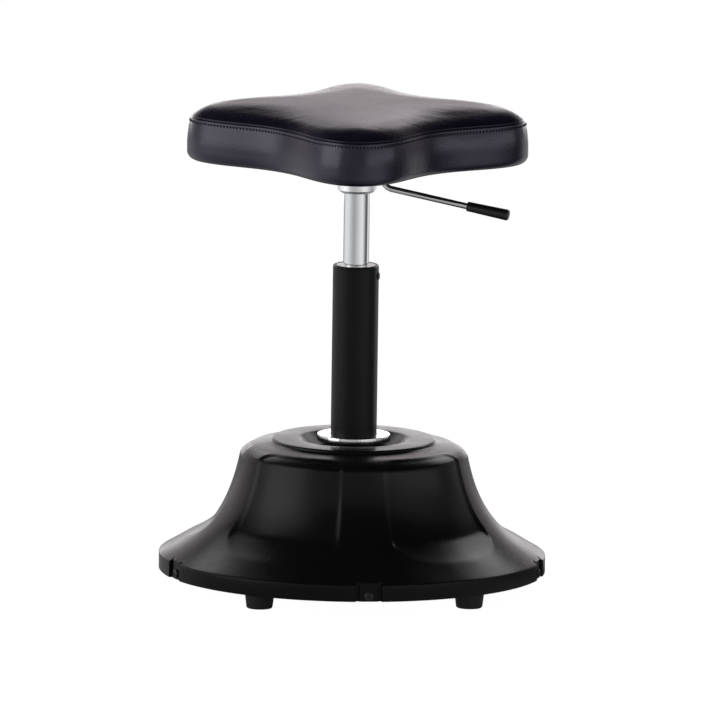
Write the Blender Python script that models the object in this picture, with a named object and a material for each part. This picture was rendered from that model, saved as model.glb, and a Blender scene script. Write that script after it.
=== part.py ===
"""Salon stool: four-lobed padded seat on a gas lift, standing on a weighted bell-shaped base.

Metres, +Z up. The origin is on the floor under the column's axis. One seat lobe points to -Y.
"""

from math import cos, exp, hypot, pi, radians, sin, sqrt

import bmesh
import bpy
from mathutils import Matrix, Vector

MM = 0.001
GAP = 0.3

# Base cover: bell with five scooped panels between five ribs
BASE_TURN = 5.2
BASE_RIBS = 5
RIM_R = 209.8
RIM_BOTTOM = 15.0
RIM_H = 17.5
RIM_SIDE_TOP = RIM_BOTTOM + RIM_H
RIM_ROUND = 3.5
RIM_ROUND_H = 2.6
FLARE_END_R = RIM_R - RIM_ROUND
FLARE_END_Z = RIM_SIDE_TOP + RIM_ROUND_H
FLARE_TOP_R = 124.8
FLARE_H = 105.9
FLARE_TOP_Z = FLARE_END_Z + FLARE_H
FLARE_TOP_LEAN = 0.2075
FLARE_END_SLOPE = 0.56
FLARE_TOP_PULL = 0.576
FLARE_END_PULL = 0.633
SHOULDER_RUN = 27.0
SHOULDER_H = 13.4
SHOULDER_R = FLARE_TOP_R - SHOULDER_RUN
SHOULDER_Z = FLARE_TOP_Z + SHOULDER_H
RING_STEP = 8.8
RING_R = SHOULDER_R - RING_STEP
RING_FOOT = SHOULDER_Z + 1.2
RING_H = 4.0
RING_TOP = RING_FOOT + RING_H
SHELL_WALL = 3.0
SKIRT_T = 7.8
SKIRT_INNER_R = RIM_R - SKIRT_T

PANEL_HALF = 26.4
PANEL_EDGE = 0.7
PANEL_TOP_S = 11.0
PANEL_CORNER = 11.0
PANEL_STEP = 1.4
PANEL_STEP_RUN = 1.8
SCOOP_DEPTH = 5.6
SCOOP_CREASE = 0.382
SCOOP_END = 0.724
SCOOP_SIDE = 0.427

NOTCH_W = 28.0
NOTCH_DEPTH = 3.0
NOTCH_GROOVE = 2.0
NOTCH_GROOVE_W = 4.0
COVER_SCREW_UP = 6.0
COVER_SCREW_Z = RIM_BOTTOM + COVER_SCREW_UP
COVER_SCREW_R = 2.0
COVER_SCREW_HEAD_R = 5.0
COVER_SCREW_HEAD_H = 2.2
COVER_SCREW_LEN = 16.0
COVER_SCREW_CROSS = 5.4
COVER_SCREW_CROSS_W = 1.3
COVER_SCREW_CROSS_DEPTH = 1.2

# Base core
PLATE_T = 10.0
PLATE_HOLE_R = 12.0
BALLAST_R = 134.0
BALLAST_H = 12.0
SOCKET_WALL = 5.0
SOCKET_FOOT_R = 50.0
SOCKET_FOOT_H = 6.0
BALLAST_BORE_R = SOCKET_FOOT_R + 4.0
FOOT_SETBACK = 16.3
FOOT_RING_R = RIM_R - FOOT_SETBACK
FOOT_TOP_R = 16.0
FOOT_BOTTOM_R = 14.3
FOOT_BOLT_R = 4.0
FOOT_BOLT_HEAD_R = 6.5
FOOT_BOLT_HEAD_H = 4.0
FOOT_BOLT_END = 5.0

# Column
FLANGE_R = 39.9
FLANGE_H = 7.0
FLANGE_PROUD = 4.7
FLANGE_TOP = RING_TOP + FLANGE_PROUD
WELL_HOLE_R = FLANGE_R + 4.2
WELL_R = WELL_HOLE_R + 12.0
WELL_DEPTH = 12.6
WELL_FLOOR = RING_TOP - WELL_DEPTH
TUBE_R = 25.0
TUBE_WALL = 2.5
TUBE_PROUD = 183.3
TUBE_TOP = FLANGE_TOP + TUBE_PROUD
TUBE_FLOOR = 4.0
BUSH_LEN = 88.0
BUSH_LIP = 2.0
BUSH_SCREW_TURN = 78.0
BUSH_SCREW_DROP = 9.3
BUSH_SCREW_Z = TUBE_TOP - BUSH_SCREW_DROP
BUSH_SCREW_R = 2.0
BUSH_SCREW_HEAD_R = 4.0
BUSH_SCREW_HEAD_H = 0.9
BUSH_SCREW_LEN = 7.0

# Gas lift
LIFT_R = 14.0
LIFT_WALL = 1.5
LIFT_SHOWN = 98.4
LIFT_LEN = 261.0
LIFT_TOP = TUBE_TOP + LIFT_SHOWN
LIFT_BOTTOM = LIFT_TOP - LIFT_LEN
LIFT_PLUG = 16.0
STROKE_UP = 55.0
STROKE_SPARE = 3.9
GUIDE_H = 12.0
SEAL_H = 4.0
SEAL_TOP = LIFT_BOTTOM + LIFT_WALL + GUIDE_H + SEAL_H + 2 * GAP
PISTON_Z = SEAL_TOP + STROKE_UP + STROKE_SPARE
PISTON_H = 12.0
ROD_R = 5.0
ROD_BOTTOM = RIM_BOTTOM + 2.0
ROD_TOP = PISTON_Z + PISTON_H + 3.0
ROD_GROOVE = 1.0
RACE_R = 13.0
RACE_H = 2.0
CAGE_H = 3.2
BUMPER_R = 12.0
BUMPER_H = 20.0
CLIP_R = 9.0
CLIP_H = 2.4
BUTTON_R = 4.0
BUTTON_PROUD = 3.5
BUTTON_LEN = 14.0

# Seat mechanism
HUB_WALL = 4.0
HUB_R = LIFT_R + HUB_WALL
HUB_OVERLAP = 14.0
HUB_BOTTOM = LIFT_TOP - HUB_OVERLAP
COLLAR_WALL = 3.2
COLLAR_R = HUB_R + COLLAR_WALL
COLLAR_H = 15.0
COLLAR_FLOOR = 3.0
COLLAR_BOTTOM = HUB_BOTTOM - COLLAR_FLOOR
COLLAR_TOP = COLLAR_BOTTOM + COLLAR_H
COLLAR_STEP_Z = HUB_BOTTOM + 0.4
SEAT_PLATE_HALF = 65.0
SEAT_PLATE_T = 3.0
SEAT_PLATE_CORNER = 12.0
SEAT_BOLT_XY = 50.0
SEAT_BOLT_R = 3.0
SEAT_BOLT_HEAD_R = 5.7
SEAT_BOLT_HEAD_H = 4.0
TEE_BARREL_R = 4.3
TEE_FLANGE_R = 9.5
TEE_FLANGE_H = 1.2
LEVER_TURN = 15.0
LEVER_ROD_R = 3.5
LEVER_PIVOT = 11.0
LEVER_INNER_END = 3.5
LEVER_BOSS_R = 5.0
LEVER_BOSS_W = 7.0
LEVER_ELBOW = HUB_R + 3.5
LEVER_DIP_RUN = 12.8
LEVER_DIP = 17.6
LEVER_BEND = 4.0
LEVER_REACH = 124.0
LEVER_FALL = 32.7
LEVER_PIN_R = 2.0
LEVER_SLOT_W = LEVER_BOSS_W + 1.0
GRIP_LEN = 47.0
GRIP_START_R = 5.1
GRIP_END_R = 6.2
GRIP_DROOP = 9.0
GRIP_ROD_DEPTH = 26.0

# Seat
SEAT_TIP = 184.6
SEAT_FLANK = 0.8104
SEAT_WAIST = 0.6912
SEAT_OVER_LIFT = 17.2
SEAT_UNDER = LIFT_TOP + SEAT_OVER_LIFT
SEAT_SIDE_H = 48.3
SEAT_SEAM = SEAT_UNDER + SEAT_SIDE_H
SEAT_CROWN = 20.0
COVER_T = 1.5
BAND_WRAP = 18.0
BAND_BULGE = 0.6
BAND_TUCK = 3.2
BAND_EDGE = 11.0
CROWN_RUN = 140.0
CROWN_EDGE = 22.0
CROWN_BEND = 5.4
CROWN_EASE = 0.92
BOARD_T = 12.0
BOARD_INSET = 10.5
CLOTH_T = 0.8
SEAT_STEPS = 64

for old in list(bpy.data.objects):
    bpy.data.objects.remove(old, do_unlink=True)


def material(name, colour, roughness, metallic=0.0):
    made = bpy.data.materials.new(name)
    made.use_nodes = True
    shader = made.node_tree.nodes["Principled BSDF"]
    shader.inputs["Base Color"].default_value = (*colour, 1.0)
    shader.inputs["Roughness"].default_value = roughness
    shader.inputs["Metallic"].default_value = metallic
    return made


LOOKS = {
    "leatherette": ((0.012, 0.012, 0.017), 0.42, 0.0),
    "foam": ((0.80, 0.74, 0.55), 0.9, 0.0),
    "plywood": ((0.55, 0.38, 0.21), 0.6, 0.0),
    "cloth": ((0.03, 0.03, 0.03), 0.95, 0.0),
    "zinc": ((0.62, 0.63, 0.65), 0.35, 1.0),
    "black_steel": ((0.02, 0.02, 0.02), 0.4, 0.5),
    "chrome": ((0.80, 0.81, 0.83), 0.08, 1.0),
    "silver_trim": ((0.66, 0.67, 0.69), 0.3, 0.7),
    "grip_plastic": ((0.012, 0.012, 0.012), 0.45, 0.0),
    "shell_plastic": ((0.014, 0.014, 0.014), 0.45, 0.0),
    "nylon": ((0.75, 0.75, 0.73), 0.5, 0.0),
    "rubber": ((0.015, 0.015, 0.015), 0.8, 0.0),
    "steel": ((0.45, 0.45, 0.46), 0.35, 1.0),
    "iron": ((0.08, 0.08, 0.085), 0.7, 0.6),
    "brass": ((0.70, 0.52, 0.22), 0.35, 1.0),
}


def add_object(name, look, points, faces, turn=30.0):
    """A closed mesh in millimetres becomes a named object with its own material."""
    mesh = bpy.data.meshes.new(name)
    mesh.from_pydata([Vector(p) * MM for p in points], [], faces)
    work = bmesh.new()
    work.from_mesh(mesh)
    bmesh.ops.recalc_face_normals(work, faces=work.faces)
    work.to_mesh(mesh)
    work.free()
    mesh.shade_smooth()
    mesh.set_sharp_from_angle(angle=radians(turn))
    mesh.materials.append(material(name, *LOOKS[look]))
    made = bpy.data.objects.new(name, mesh)
    bpy.context.scene.collection.objects.link(made)
    return made


def revolve(name, look, profile, steps, arc=360.0, turn=30.0):
    """The closed (radius, height) profile turned about Z. Points at radius 0 are shared."""
    full = arc >= 360.0
    columns = steps if full else steps + 1
    points = []
    index = []
    for r, z in profile:
        if r == 0.0:
            points.append((0.0, 0.0, z))
            index.append([len(points) - 1] * columns)
            continue
        row = []
        for k in range(columns):
            a = radians(arc) * k / steps
            points.append((r * cos(a), r * sin(a), z))
            row.append(len(points) - 1)
        index.append(row)
    faces = []
    for i in range(len(profile)):
        low = index[i]
        high = index[(i + 1) % len(profile)]
        for k in range(steps):
            n = (k + 1) % columns
            corners = []
            for c in (low[k], low[n], high[n], high[k]):
                if c not in corners:
                    corners.append(c)
            if len(corners) > 2:
                faces.append(corners)
    if not full:
        faces.append([row[0] for row in index])
        faces.append([row[-1] for row in index][::-1])
    return add_object(name, look, points, faces, turn)


def place(obj, matrix):
    """Bakes a move, given in millimetres, into the mesh."""
    moved = matrix.copy()
    moved.translation = matrix.translation * MM
    obj.data.transform(moved)
    return obj


def move(x=0.0, y=0.0, z=0.0):
    return Matrix.Translation((x, y, z))


def spin(degrees, axis="Z"):
    return Matrix.Rotation(radians(degrees), 4, axis)


def set_origin(obj, x, y, z):
    """Puts the object's origin on its joint's axis without moving its shape."""
    at = Vector((x, y, z)) * MM
    obj.data.transform(Matrix.Translation(-at))
    obj.location = at


def cutter(name, points, faces):
    made = add_object(name, "steel", points, faces)
    made.hide_render = True
    made.display_type = "WIRE"
    return made


def cut_by(obj, tool):
    step = obj.modifiers.new(tool.name, "BOOLEAN")
    step.operation = "DIFFERENCE"
    step.solver = "EXACT"
    step.object = tool


def rod_shape(r, low, high, steps):
    turns = [2 * pi * k / steps for k in range(steps)]
    return prism_shape([(r * cos(a), r * sin(a)) for a in turns], low, high)


def prism_shape(plan, low, high):
    """Points and faces of a flat outline raised from one height to another."""
    count = len(plan)
    points = [(x, y, z) for z in (low, high) for x, y in plan]
    faces = [list(range(count))[::-1], list(range(count, 2 * count))]
    for k in range(count):
        n = (k + 1) % count
        faces.append([k, n, count + n, count + k])
    return points, faces


def round_cutter(name, r, low, high, matrix, steps=16):
    return place(cutter(name, *rod_shape(r, low, high, steps)), matrix)


def facing(degrees):
    """Turn about Z, with 0 at -Y and 90 at +X, of a piece drawn along +X."""
    return spin(degrees - 90.0)


RIB_TURNS = [BASE_TURN + 360.0 / BASE_RIBS * k for k in range(BASE_RIBS)]
FOOT_TURNS = [turn + 180.0 / BASE_RIBS for turn in RIB_TURNS]


def flare_curve(count=240):
    """Shoulder and bell flank of a rib as a dense (radius, height) line from plateau to rim."""
    lean = hypot(FLARE_TOP_LEAN, 1.0)
    slope = hypot(FLARE_END_SLOPE, 1.0)
    top = Vector((FLARE_TOP_R, FLARE_TOP_Z))
    end = Vector((FLARE_END_R, FLARE_END_Z))
    down = FLARE_H * FLARE_TOP_PULL
    out = (FLARE_END_R - FLARE_TOP_R) * FLARE_END_PULL
    p1 = top + Vector((FLARE_TOP_LEAN, -1.0)) * down / lean
    p2 = end - Vector((1.0, -FLARE_END_SLOPE)) * out / slope
    start = Vector((SHOULDER_R, SHOULDER_Z))
    knee = top + Vector((-FLARE_TOP_LEAN, 1.0)) * SHOULDER_H * 0.82
    line = []
    for k in range(40):
        t = k / 40
        line.append(start * (1 - t) ** 2 + knee * 2 * t * (1 - t) + top * t * t)
    for k in range(count + 1):
        t = k / count
        u = 1 - t
        line.append(top * u ** 3 + p1 * 3 * t * u * u + p2 * 3 * t * t * u + end * t ** 3)
    return line


FLARE = flare_curve()
FLARE_S = [0.0]
for before, after in zip(FLARE, FLARE[1:]):
    FLARE_S.append(FLARE_S[-1] + (after - before).length)


def flare_at(s):
    """Point and outward normal of the rib's line at this length along it."""
    k = 1
    while k < len(FLARE_S) - 1 and FLARE_S[k] < s:
        k += 1
    a, b = FLARE[k - 1], FLARE[k]
    t = (s - FLARE_S[k - 1]) / (FLARE_S[k] - FLARE_S[k - 1])
    along = (b - a).normalized()
    return a.lerp(b, t), Vector((-along.y, along.x))


def flare_length(share):
    """Length along the rib's line where it has run this share of the way from top to rim."""
    r = FLARE_TOP_R + (FLARE_END_R - FLARE_TOP_R) * share
    for s, p in zip(FLARE_S, FLARE):
        if p.x >= r:
            return s
    return FLARE_S[-1]


def cover_column(off):
    """(radius, height) points of the cover's outside at this angle from a panel's middle."""
    inside = max(0.0, min(1.0, (PANEL_HALF - abs(off)) / PANEL_EDGE))
    share = min(1.0, abs(off) / PANEL_HALF)
    corner = PANEL_CORNER / radians(FLARE_TOP_R)
    past = max(0.0, min(1.0, (abs(off) - PANEL_HALF + corner) / corner))
    top = PANEL_TOP_S + PANEL_CORNER * (1.0 - sqrt(1.0 - past * past))
    crease = flare_length(SCOOP_CREASE)
    end = flare_length(SCOOP_END - (SCOOP_END - SCOOP_SIDE) * share ** 3)
    last = FLARE_S[-1]
    step = top + PANEL_STEP_RUN
    scoop = (SCOOP_DEPTH - PANEL_STEP) * (1.0 - share ** 4)
    stops = [(0.0, 0.0), (top * 0.5, 0.0), (top, 0.0), (step, PANEL_STEP)]
    for k in range(1, 5):
        t = k / 5
        stops.append((step + (crease - step) * t, PANEL_STEP + scoop * t ** 3))
    stops.append((crease, PANEL_STEP + scoop))
    for k in range(1, 4):
        stops.append((crease + (end - crease) * k / 3, (PANEL_STEP + scoop) * (1 - k / 3)))
    for k in range(1, 3):
        stops.append((end + (last - end) * k / 2, 0.0))
    out = []
    for s, depth in stops:
        p, normal = flare_at(s)
        out.append(p - normal * depth * inside)
    return [(p.x, p.y) for p in out]


def add_cover():
    """Bell shell: a grid of profile rows and columns round the axis, with the scoops formed in it."""
    head = [
        (WELL_HOLE_R, WELL_FLOOR),
        (WELL_R, RING_TOP - 2.4),
        (WELL_R + 2.0, RING_TOP - 0.6),
        (WELL_R + 5.0, RING_TOP),
        (RING_R - 2.8, RING_TOP),
        (RING_R - 0.5, RING_TOP - 1.7),
        (RING_R + 0.4, RING_FOOT),
    ]
    drop = FLARE_END_Z - RIM_SIDE_TOP
    rim = [
        (FLARE_END_R + (RIM_R - FLARE_END_R) * 0.62, RIM_SIDE_TOP + drop * 0.68),
        (FLARE_END_R + (RIM_R - FLARE_END_R) * 0.92, RIM_SIDE_TOP + drop * 0.30),
        (RIM_R, RIM_SIDE_TOP),
        (RIM_R, RIM_BOTTOM + 1.0),
        (RIM_R - 1.0, RIM_BOTTOM),
    ]
    lining = [(SKIRT_INNER_R, RIM_BOTTOM), (SKIRT_INNER_R, FLARE_END_Z - SHELL_WALL - 2.0)]
    for share in (0.86, 0.70, 0.54, 0.36, 0.17, 0.05):
        p, normal = flare_at(FLARE_S[-1] * share)
        p = p - normal * (SCOOP_DEPTH + SHELL_WALL)
        lining.append((p.x, p.y))
    lining += [
        (WELL_R + SHELL_WALL, RING_TOP - 2.6 * SHELL_WALL),
        (WELL_HOLE_R + SHELL_WALL, WELL_FLOOR - SHELL_WALL),
        (WELL_HOLE_R, WELL_FLOOR - SHELL_WALL),
    ]
    half = 180.0 / BASE_RIBS
    edge = PANEL_HALF - PANEL_EDGE
    side = [edge * 0.27, edge * 0.54, edge * 0.80, edge, PANEL_HALF, (PANEL_HALF + half) / 2]
    offs = [-o for o in reversed(side)] + [0.0] + side + [half]
    columns = []
    for foot_turn in FOOT_TURNS:
        for off in offs:
            line = head + cover_column(off) + rim + lining
            a = radians(foot_turn + off - 90.0)
            columns.append([(r * cos(a), r * sin(a), z) for r, z in line])
    rows = len(columns[0])
    points = [p for column in columns for p in column]
    faces = []
    for c in range(len(columns)):
        n = (c + 1) % len(columns)
        for i in range(rows):
            j = (i + 1) % rows
            faces.append([c * rows + i, n * rows + i, n * rows + j, c * rows + j])
    return add_object("base_cover", "shell_plastic", points, faces, 24.0)


def notch_shape():
    """Pocket in the rim, drawn along +X: a pad between two deeper grooves, open below."""
    half = NOTCH_W / 2
    pad = half - NOTCH_GROOVE_W
    inner = RIM_R - NOTCH_DEPTH
    deep = inner - NOTCH_GROOVE
    plan = [(RIM_R + 4.0, -half), (deep, -half), (deep, -pad - 0.8), (inner, -pad)]
    plan += [(x, -y) for x, y in reversed(plan)]
    return prism_shape(plan, RIM_BOTTOM - 3.0, FLARE_END_Z + NOTCH_DEPTH + NOTCH_GROOVE)


def pan_screw(name, look, r, length, head_r, head_h, steps=10):
    """Pan-head screw along +X: shank from 0 inwards, head from GAP outwards."""
    profile = [
        (0.0, -length),
        (r * 0.5, -length),
        (r, -length + r),
        (r, GAP),
        (head_r, GAP),
        (head_r, GAP + head_h * 0.55),
        (head_r * 0.72, GAP + head_h),
        (0.0, GAP + head_h),
    ]
    made = revolve(name, look, profile, steps)
    return place(made, spin(90.0, "Y"))


def cross_shape(size, width, low, high):
    """Plus-shaped prism along Z."""
    long = size / 2
    thin = width / 2
    corner = [(long, -thin), (long, thin), (thin, thin)]
    plan = []
    for quarter in range(4):
        for x, y in corner:
            turned = spin(90.0 * quarter) @ Vector((x, y, 0.0))
            plan.append((turned.x, turned.y))
    return prism_shape(plan, low, high)


def add_base():
    plate_r = SKIRT_INNER_R - 2 * GAP
    plate_top = RIM_BOTTOM + PLATE_T
    cover = add_cover()
    plate = revolve(
        "base_plate",
        "black_steel",
        [
            (PLATE_HOLE_R, RIM_BOTTOM),
            (plate_r, RIM_BOTTOM),
            (plate_r, plate_top),
            (PLATE_HOLE_R, plate_top),
        ],
        40,
    )
    pad_r = RIM_R - NOTCH_DEPTH
    shank = COVER_SCREW_R + GAP
    for k, turn in enumerate(RIB_TURNS):
        notch = place(cutter(f"cut_notch_{k + 1}", *notch_shape()), facing(turn))
        cut_by(cover, notch)
        at = facing(turn) @ move(0.0, 0.0, COVER_SCREW_Z) @ spin(90.0, "Y")
        deep = pad_r - COVER_SCREW_LEN - 2 * GAP
        hole = round_cutter(f"cut_screw_{k + 1}", shank, deep, pad_r + 3.0, at, 10)
        cut_by(cover, hole)
        cut_by(plate, hole)
        screw = pan_screw(
            f"cover_screw_{k + 1}",
            "black_steel",
            COVER_SCREW_R,
            COVER_SCREW_LEN,
            COVER_SCREW_HEAD_R,
            COVER_SCREW_HEAD_H,
        )
        place(screw, facing(turn) @ move(pad_r, 0.0, COVER_SCREW_Z))
        head_top = pad_r + GAP + COVER_SCREW_HEAD_H
        floor = head_top - COVER_SCREW_CROSS_DEPTH
        cross = cross_shape(COVER_SCREW_CROSS, COVER_SCREW_CROSS_W, floor, head_top + 2.0)
        cut_by(screw, place(cutter(f"cut_cross_{k + 1}", *cross), at))
    foot_top = RIM_BOTTOM - GAP
    for k, turn in enumerate(FOOT_TURNS):
        at = facing(turn) @ move(FOOT_RING_R)
        bore = FOOT_BOLT_R + GAP
        foot = revolve(
            f"foot_{k + 1}",
            "rubber",
            [
                (0.0, 0.0),
                (FOOT_BOTTOM_R - 1.0, 0.0),
                (FOOT_BOTTOM_R, 1.0),
                (FOOT_TOP_R, foot_top),
                (bore, foot_top),
                (bore, FOOT_BOLT_END - GAP),
                (0.0, FOOT_BOLT_END - GAP),
            ],
            14,
        )
        place(foot, at)
        hole = round_cutter(f"cut_foot_{k + 1}", bore, RIM_BOTTOM - 2.0, plate_top + 2.0, at, 10)
        cut_by(plate, hole)
        bolt = revolve(
            f"foot_bolt_{k + 1}",
            "zinc",
            [
                (0.0, FOOT_BOLT_END),
                (FOOT_BOLT_R, FOOT_BOLT_END),
                (FOOT_BOLT_R, plate_top + GAP),
                (FOOT_BOLT_HEAD_R, plate_top + GAP),
                (FOOT_BOLT_HEAD_R, plate_top + GAP + FOOT_BOLT_HEAD_H),
                (0.0, plate_top + GAP + FOOT_BOLT_HEAD_H),
            ],
            10,
        )
        place(bolt, at)
    seat_z = plate_top + GAP
    revolve(
        "ballast_ring",
        "iron",
        [
            (BALLAST_BORE_R, seat_z),
            (BALLAST_R, seat_z),
            (BALLAST_R, seat_z + BALLAST_H - 4.0),
            (BALLAST_R - 4.0, seat_z + BALLAST_H),
            (BALLAST_BORE_R, seat_z + BALLAST_H),
        ],
        24,
    )
    socket_bore = TUBE_R + GAP
    socket_top = FLANGE_TOP - FLANGE_H - GAP
    revolve(
        "column_socket",
        "black_steel",
        [
            (socket_bore, seat_z),
            (SOCKET_FOOT_R, seat_z),
            (SOCKET_FOOT_R, seat_z + SOCKET_FOOT_H),
            (TUBE_R + SOCKET_WALL, seat_z + SOCKET_FOOT_H),
            (TUBE_R + SOCKET_WALL, socket_top),
            (socket_bore, socket_top),
        ],
        24,
    )
    return seat_z


def add_column(tube_bottom):
    bore = TUBE_R - TUBE_WALL
    rod_hole = ROD_R + 2 * GAP
    revolve(
        "column_flange",
        "chrome",
        [
            (TUBE_R + GAP, FLANGE_TOP - FLANGE_H),
            (FLANGE_R - 0.6, FLANGE_TOP - FLANGE_H),
            (FLANGE_R, FLANGE_TOP - FLANGE_H + 0.6),
            (FLANGE_R, FLANGE_TOP - 0.8),
            (FLANGE_R - 0.8, FLANGE_TOP),
            (TUBE_R + GAP, FLANGE_TOP),
        ],
        40,
    )
    floor_top = tube_bottom + TUBE_FLOOR
    tube = revolve(
        "outer_tube",
        "black_steel",
        [
            (rod_hole, tube_bottom),
            (TUBE_R - 0.8, tube_bottom),
            (TUBE_R, tube_bottom + 0.8),
            (TUBE_R, TUBE_TOP - 0.6),
            (TUBE_R - 0.6, TUBE_TOP),
            (bore, TUBE_TOP),
            (bore, floor_top),
            (rod_hole, floor_top),
        ],
        32,
    )
    lip_top = TUBE_TOP + GAP + BUSH_LIP
    bush = revolve(
        "guide_bush",
        "nylon",
        [
            (LIFT_R + GAP, TUBE_TOP - BUSH_LEN),
            (bore - GAP, TUBE_TOP - BUSH_LEN),
            (bore - GAP, TUBE_TOP + GAP),
            (TUBE_R - 0.4, TUBE_TOP + GAP),
            (TUBE_R - 0.4, lip_top - 0.9),
            (TUBE_R - 1.3, lip_top),
            (LIFT_R + GAP, lip_top),
        ],
        28,
    )
    at = facing(BUSH_SCREW_TURN) @ move(0.0, 0.0, BUSH_SCREW_Z) @ spin(90.0, "Y")
    hole = round_cutter(
        "cut_bush_screw", BUSH_SCREW_R + GAP, TUBE_R - BUSH_SCREW_LEN - GAP, TUBE_R + 3.0, at, 12
    )
    cut_by(tube, hole)
    cut_by(bush, hole)
    screw = pan_screw(
        "bush_screw", "black_steel", BUSH_SCREW_R, BUSH_SCREW_LEN, BUSH_SCREW_HEAD_R, BUSH_SCREW_HEAD_H
    )
    place(screw, facing(BUSH_SCREW_TURN) @ move(TUBE_R, 0.0, BUSH_SCREW_Z))
    return floor_top


def ring(name, look, inner, outer, low, high, steps=12):
    return revolve(name, look, [(inner, low), (outer, low), (outer, high), (inner, high)], steps)


def add_spindle(floor_top, tube_bottom):
    on_rod = ROD_R + GAP
    low = floor_top + GAP
    ring("thrust_race_lower", "steel", ROD_R + 2 * GAP, RACE_R, low, low + RACE_H)
    low += RACE_H + GAP
    ring("thrust_cage", "brass", ROD_R + 2 * GAP, RACE_R, low, low + CAGE_H)
    low += CAGE_H + GAP
    ring("thrust_race_upper", "steel", on_rod, RACE_R, low, low + RACE_H)
    low += RACE_H + GAP
    ring("bumper", "rubber", on_rod, BUMPER_R, low, low + BUMPER_H)
    clip_top = tube_bottom - 2 * GAP
    groove_r = ROD_R - ROD_GROOVE
    revolve(
        "rod_clip",
        "steel",
        [
            (groove_r + GAP, clip_top - CLIP_H),
            (CLIP_R, clip_top - CLIP_H),
            (CLIP_R, clip_top),
            (groove_r + GAP, clip_top),
        ],
        14,
        arc=300.0,
    )
    revolve(
        "piston_rod",
        "steel",
        [
            (0.0, ROD_BOTTOM),
            (ROD_R - 0.6, ROD_BOTTOM),
            (ROD_R, ROD_BOTTOM + 0.6),
            (ROD_R, clip_top - CLIP_H - GAP),
            (groove_r, clip_top - CLIP_H - GAP),
            (groove_r, clip_top + GAP),
            (ROD_R, clip_top + GAP),
            (ROD_R, ROD_TOP - 0.8),
            (ROD_R - 0.8, ROD_TOP),
            (0.0, ROD_TOP),
        ],
        14,
    )
    ring("piston", "brass", on_rod, LIFT_R - LIFT_WALL - GAP, PISTON_Z, PISTON_Z + PISTON_H)


def add_lift():
    bore = LIFT_R - LIFT_WALL
    lip_top = LIFT_BOTTOM + LIFT_WALL
    plug = LIFT_TOP - LIFT_PLUG
    pin_hole = BUTTON_R + GAP
    mouth = ROD_R + 3.0
    revolve(
        "pressure_tube",
        "chrome",
        [
            (mouth, LIFT_BOTTOM),
            (LIFT_R - 1.0, LIFT_BOTTOM),
            (LIFT_R, LIFT_BOTTOM + 1.0),
            (LIFT_R, LIFT_TOP - 0.6),
            (LIFT_R - 0.6, LIFT_TOP),
            (pin_hole, LIFT_TOP),
            (pin_hole, plug),
            (bore, plug),
            (bore, lip_top),
            (mouth, lip_top),
        ],
        28,
    )
    guide = lip_top + GAP
    ring("rod_guide", "brass", ROD_R + GAP, bore - GAP, guide, guide + GUIDE_H)
    seal = guide + GUIDE_H + GAP
    ring("rod_seal", "rubber", ROD_R + GAP, bore - GAP, seal, seal + SEAL_H)
    top = LIFT_TOP + BUTTON_PROUD
    button = revolve(
        "release_button",
        "steel",
        [
            (0.0, top - BUTTON_LEN),
            (BUTTON_R, top - BUTTON_LEN),
            (BUTTON_R, top - 1.0),
            (BUTTON_R - 1.0, top),
            (0.0, top),
        ],
        16,
    )
    set_origin(button, 0.0, 0.0, top)


LEVER_Z = LIFT_TOP + BUTTON_PROUD + GAP + LEVER_ROD_R


def lever_path():
    """(reach, height) points of the lever's middle line from its inner end to the grip's mouth."""
    elbow = Vector((LEVER_ELBOW, LEVER_Z))
    knee = Vector((LEVER_ELBOW + LEVER_DIP_RUN, LEVER_Z - LEVER_DIP))
    mouth = Vector((LEVER_REACH, LEVER_Z - LEVER_FALL))
    corners = [Vector((LEVER_PIVOT, LEVER_Z)), elbow, knee, mouth]
    path = [Vector((-LEVER_INNER_END, LEVER_Z)), corners[0]]
    for before, at, after in zip(corners, corners[1:], corners[2:]):
        start = at + (before - at).normalized() * LEVER_BEND
        end = at + (after - at).normalized() * LEVER_BEND
        path += [start, start * 0.25 + at * 0.5 + end * 0.25, end]
    return path + [mouth]


def sweep_rod(path, r, steps):
    """Round rod along (reach, height) points in the lever's own XZ plane."""
    points = []
    for k, at in enumerate(path):
        along = (path[min(len(path) - 1, k + 1)] - path[max(0, k - 1)]).normalized()
        up = Vector((-along.y, along.x))
        for n in range(steps):
            a = 2 * pi * n / steps
            side = r * sin(a)
            lift = r * cos(a)
            points.append((at.x + up.x * lift, side, at.y + up.y * lift))
    faces = [list(range(steps)), list(range(len(points) - steps, len(points)))]
    for k in range(len(path) - 1):
        for n in range(steps):
            m = (n + 1) % steps
            low = k * steps
            faces.append([low + n, low + m, low + steps + m, low + steps + n])
    return points, faces


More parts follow.
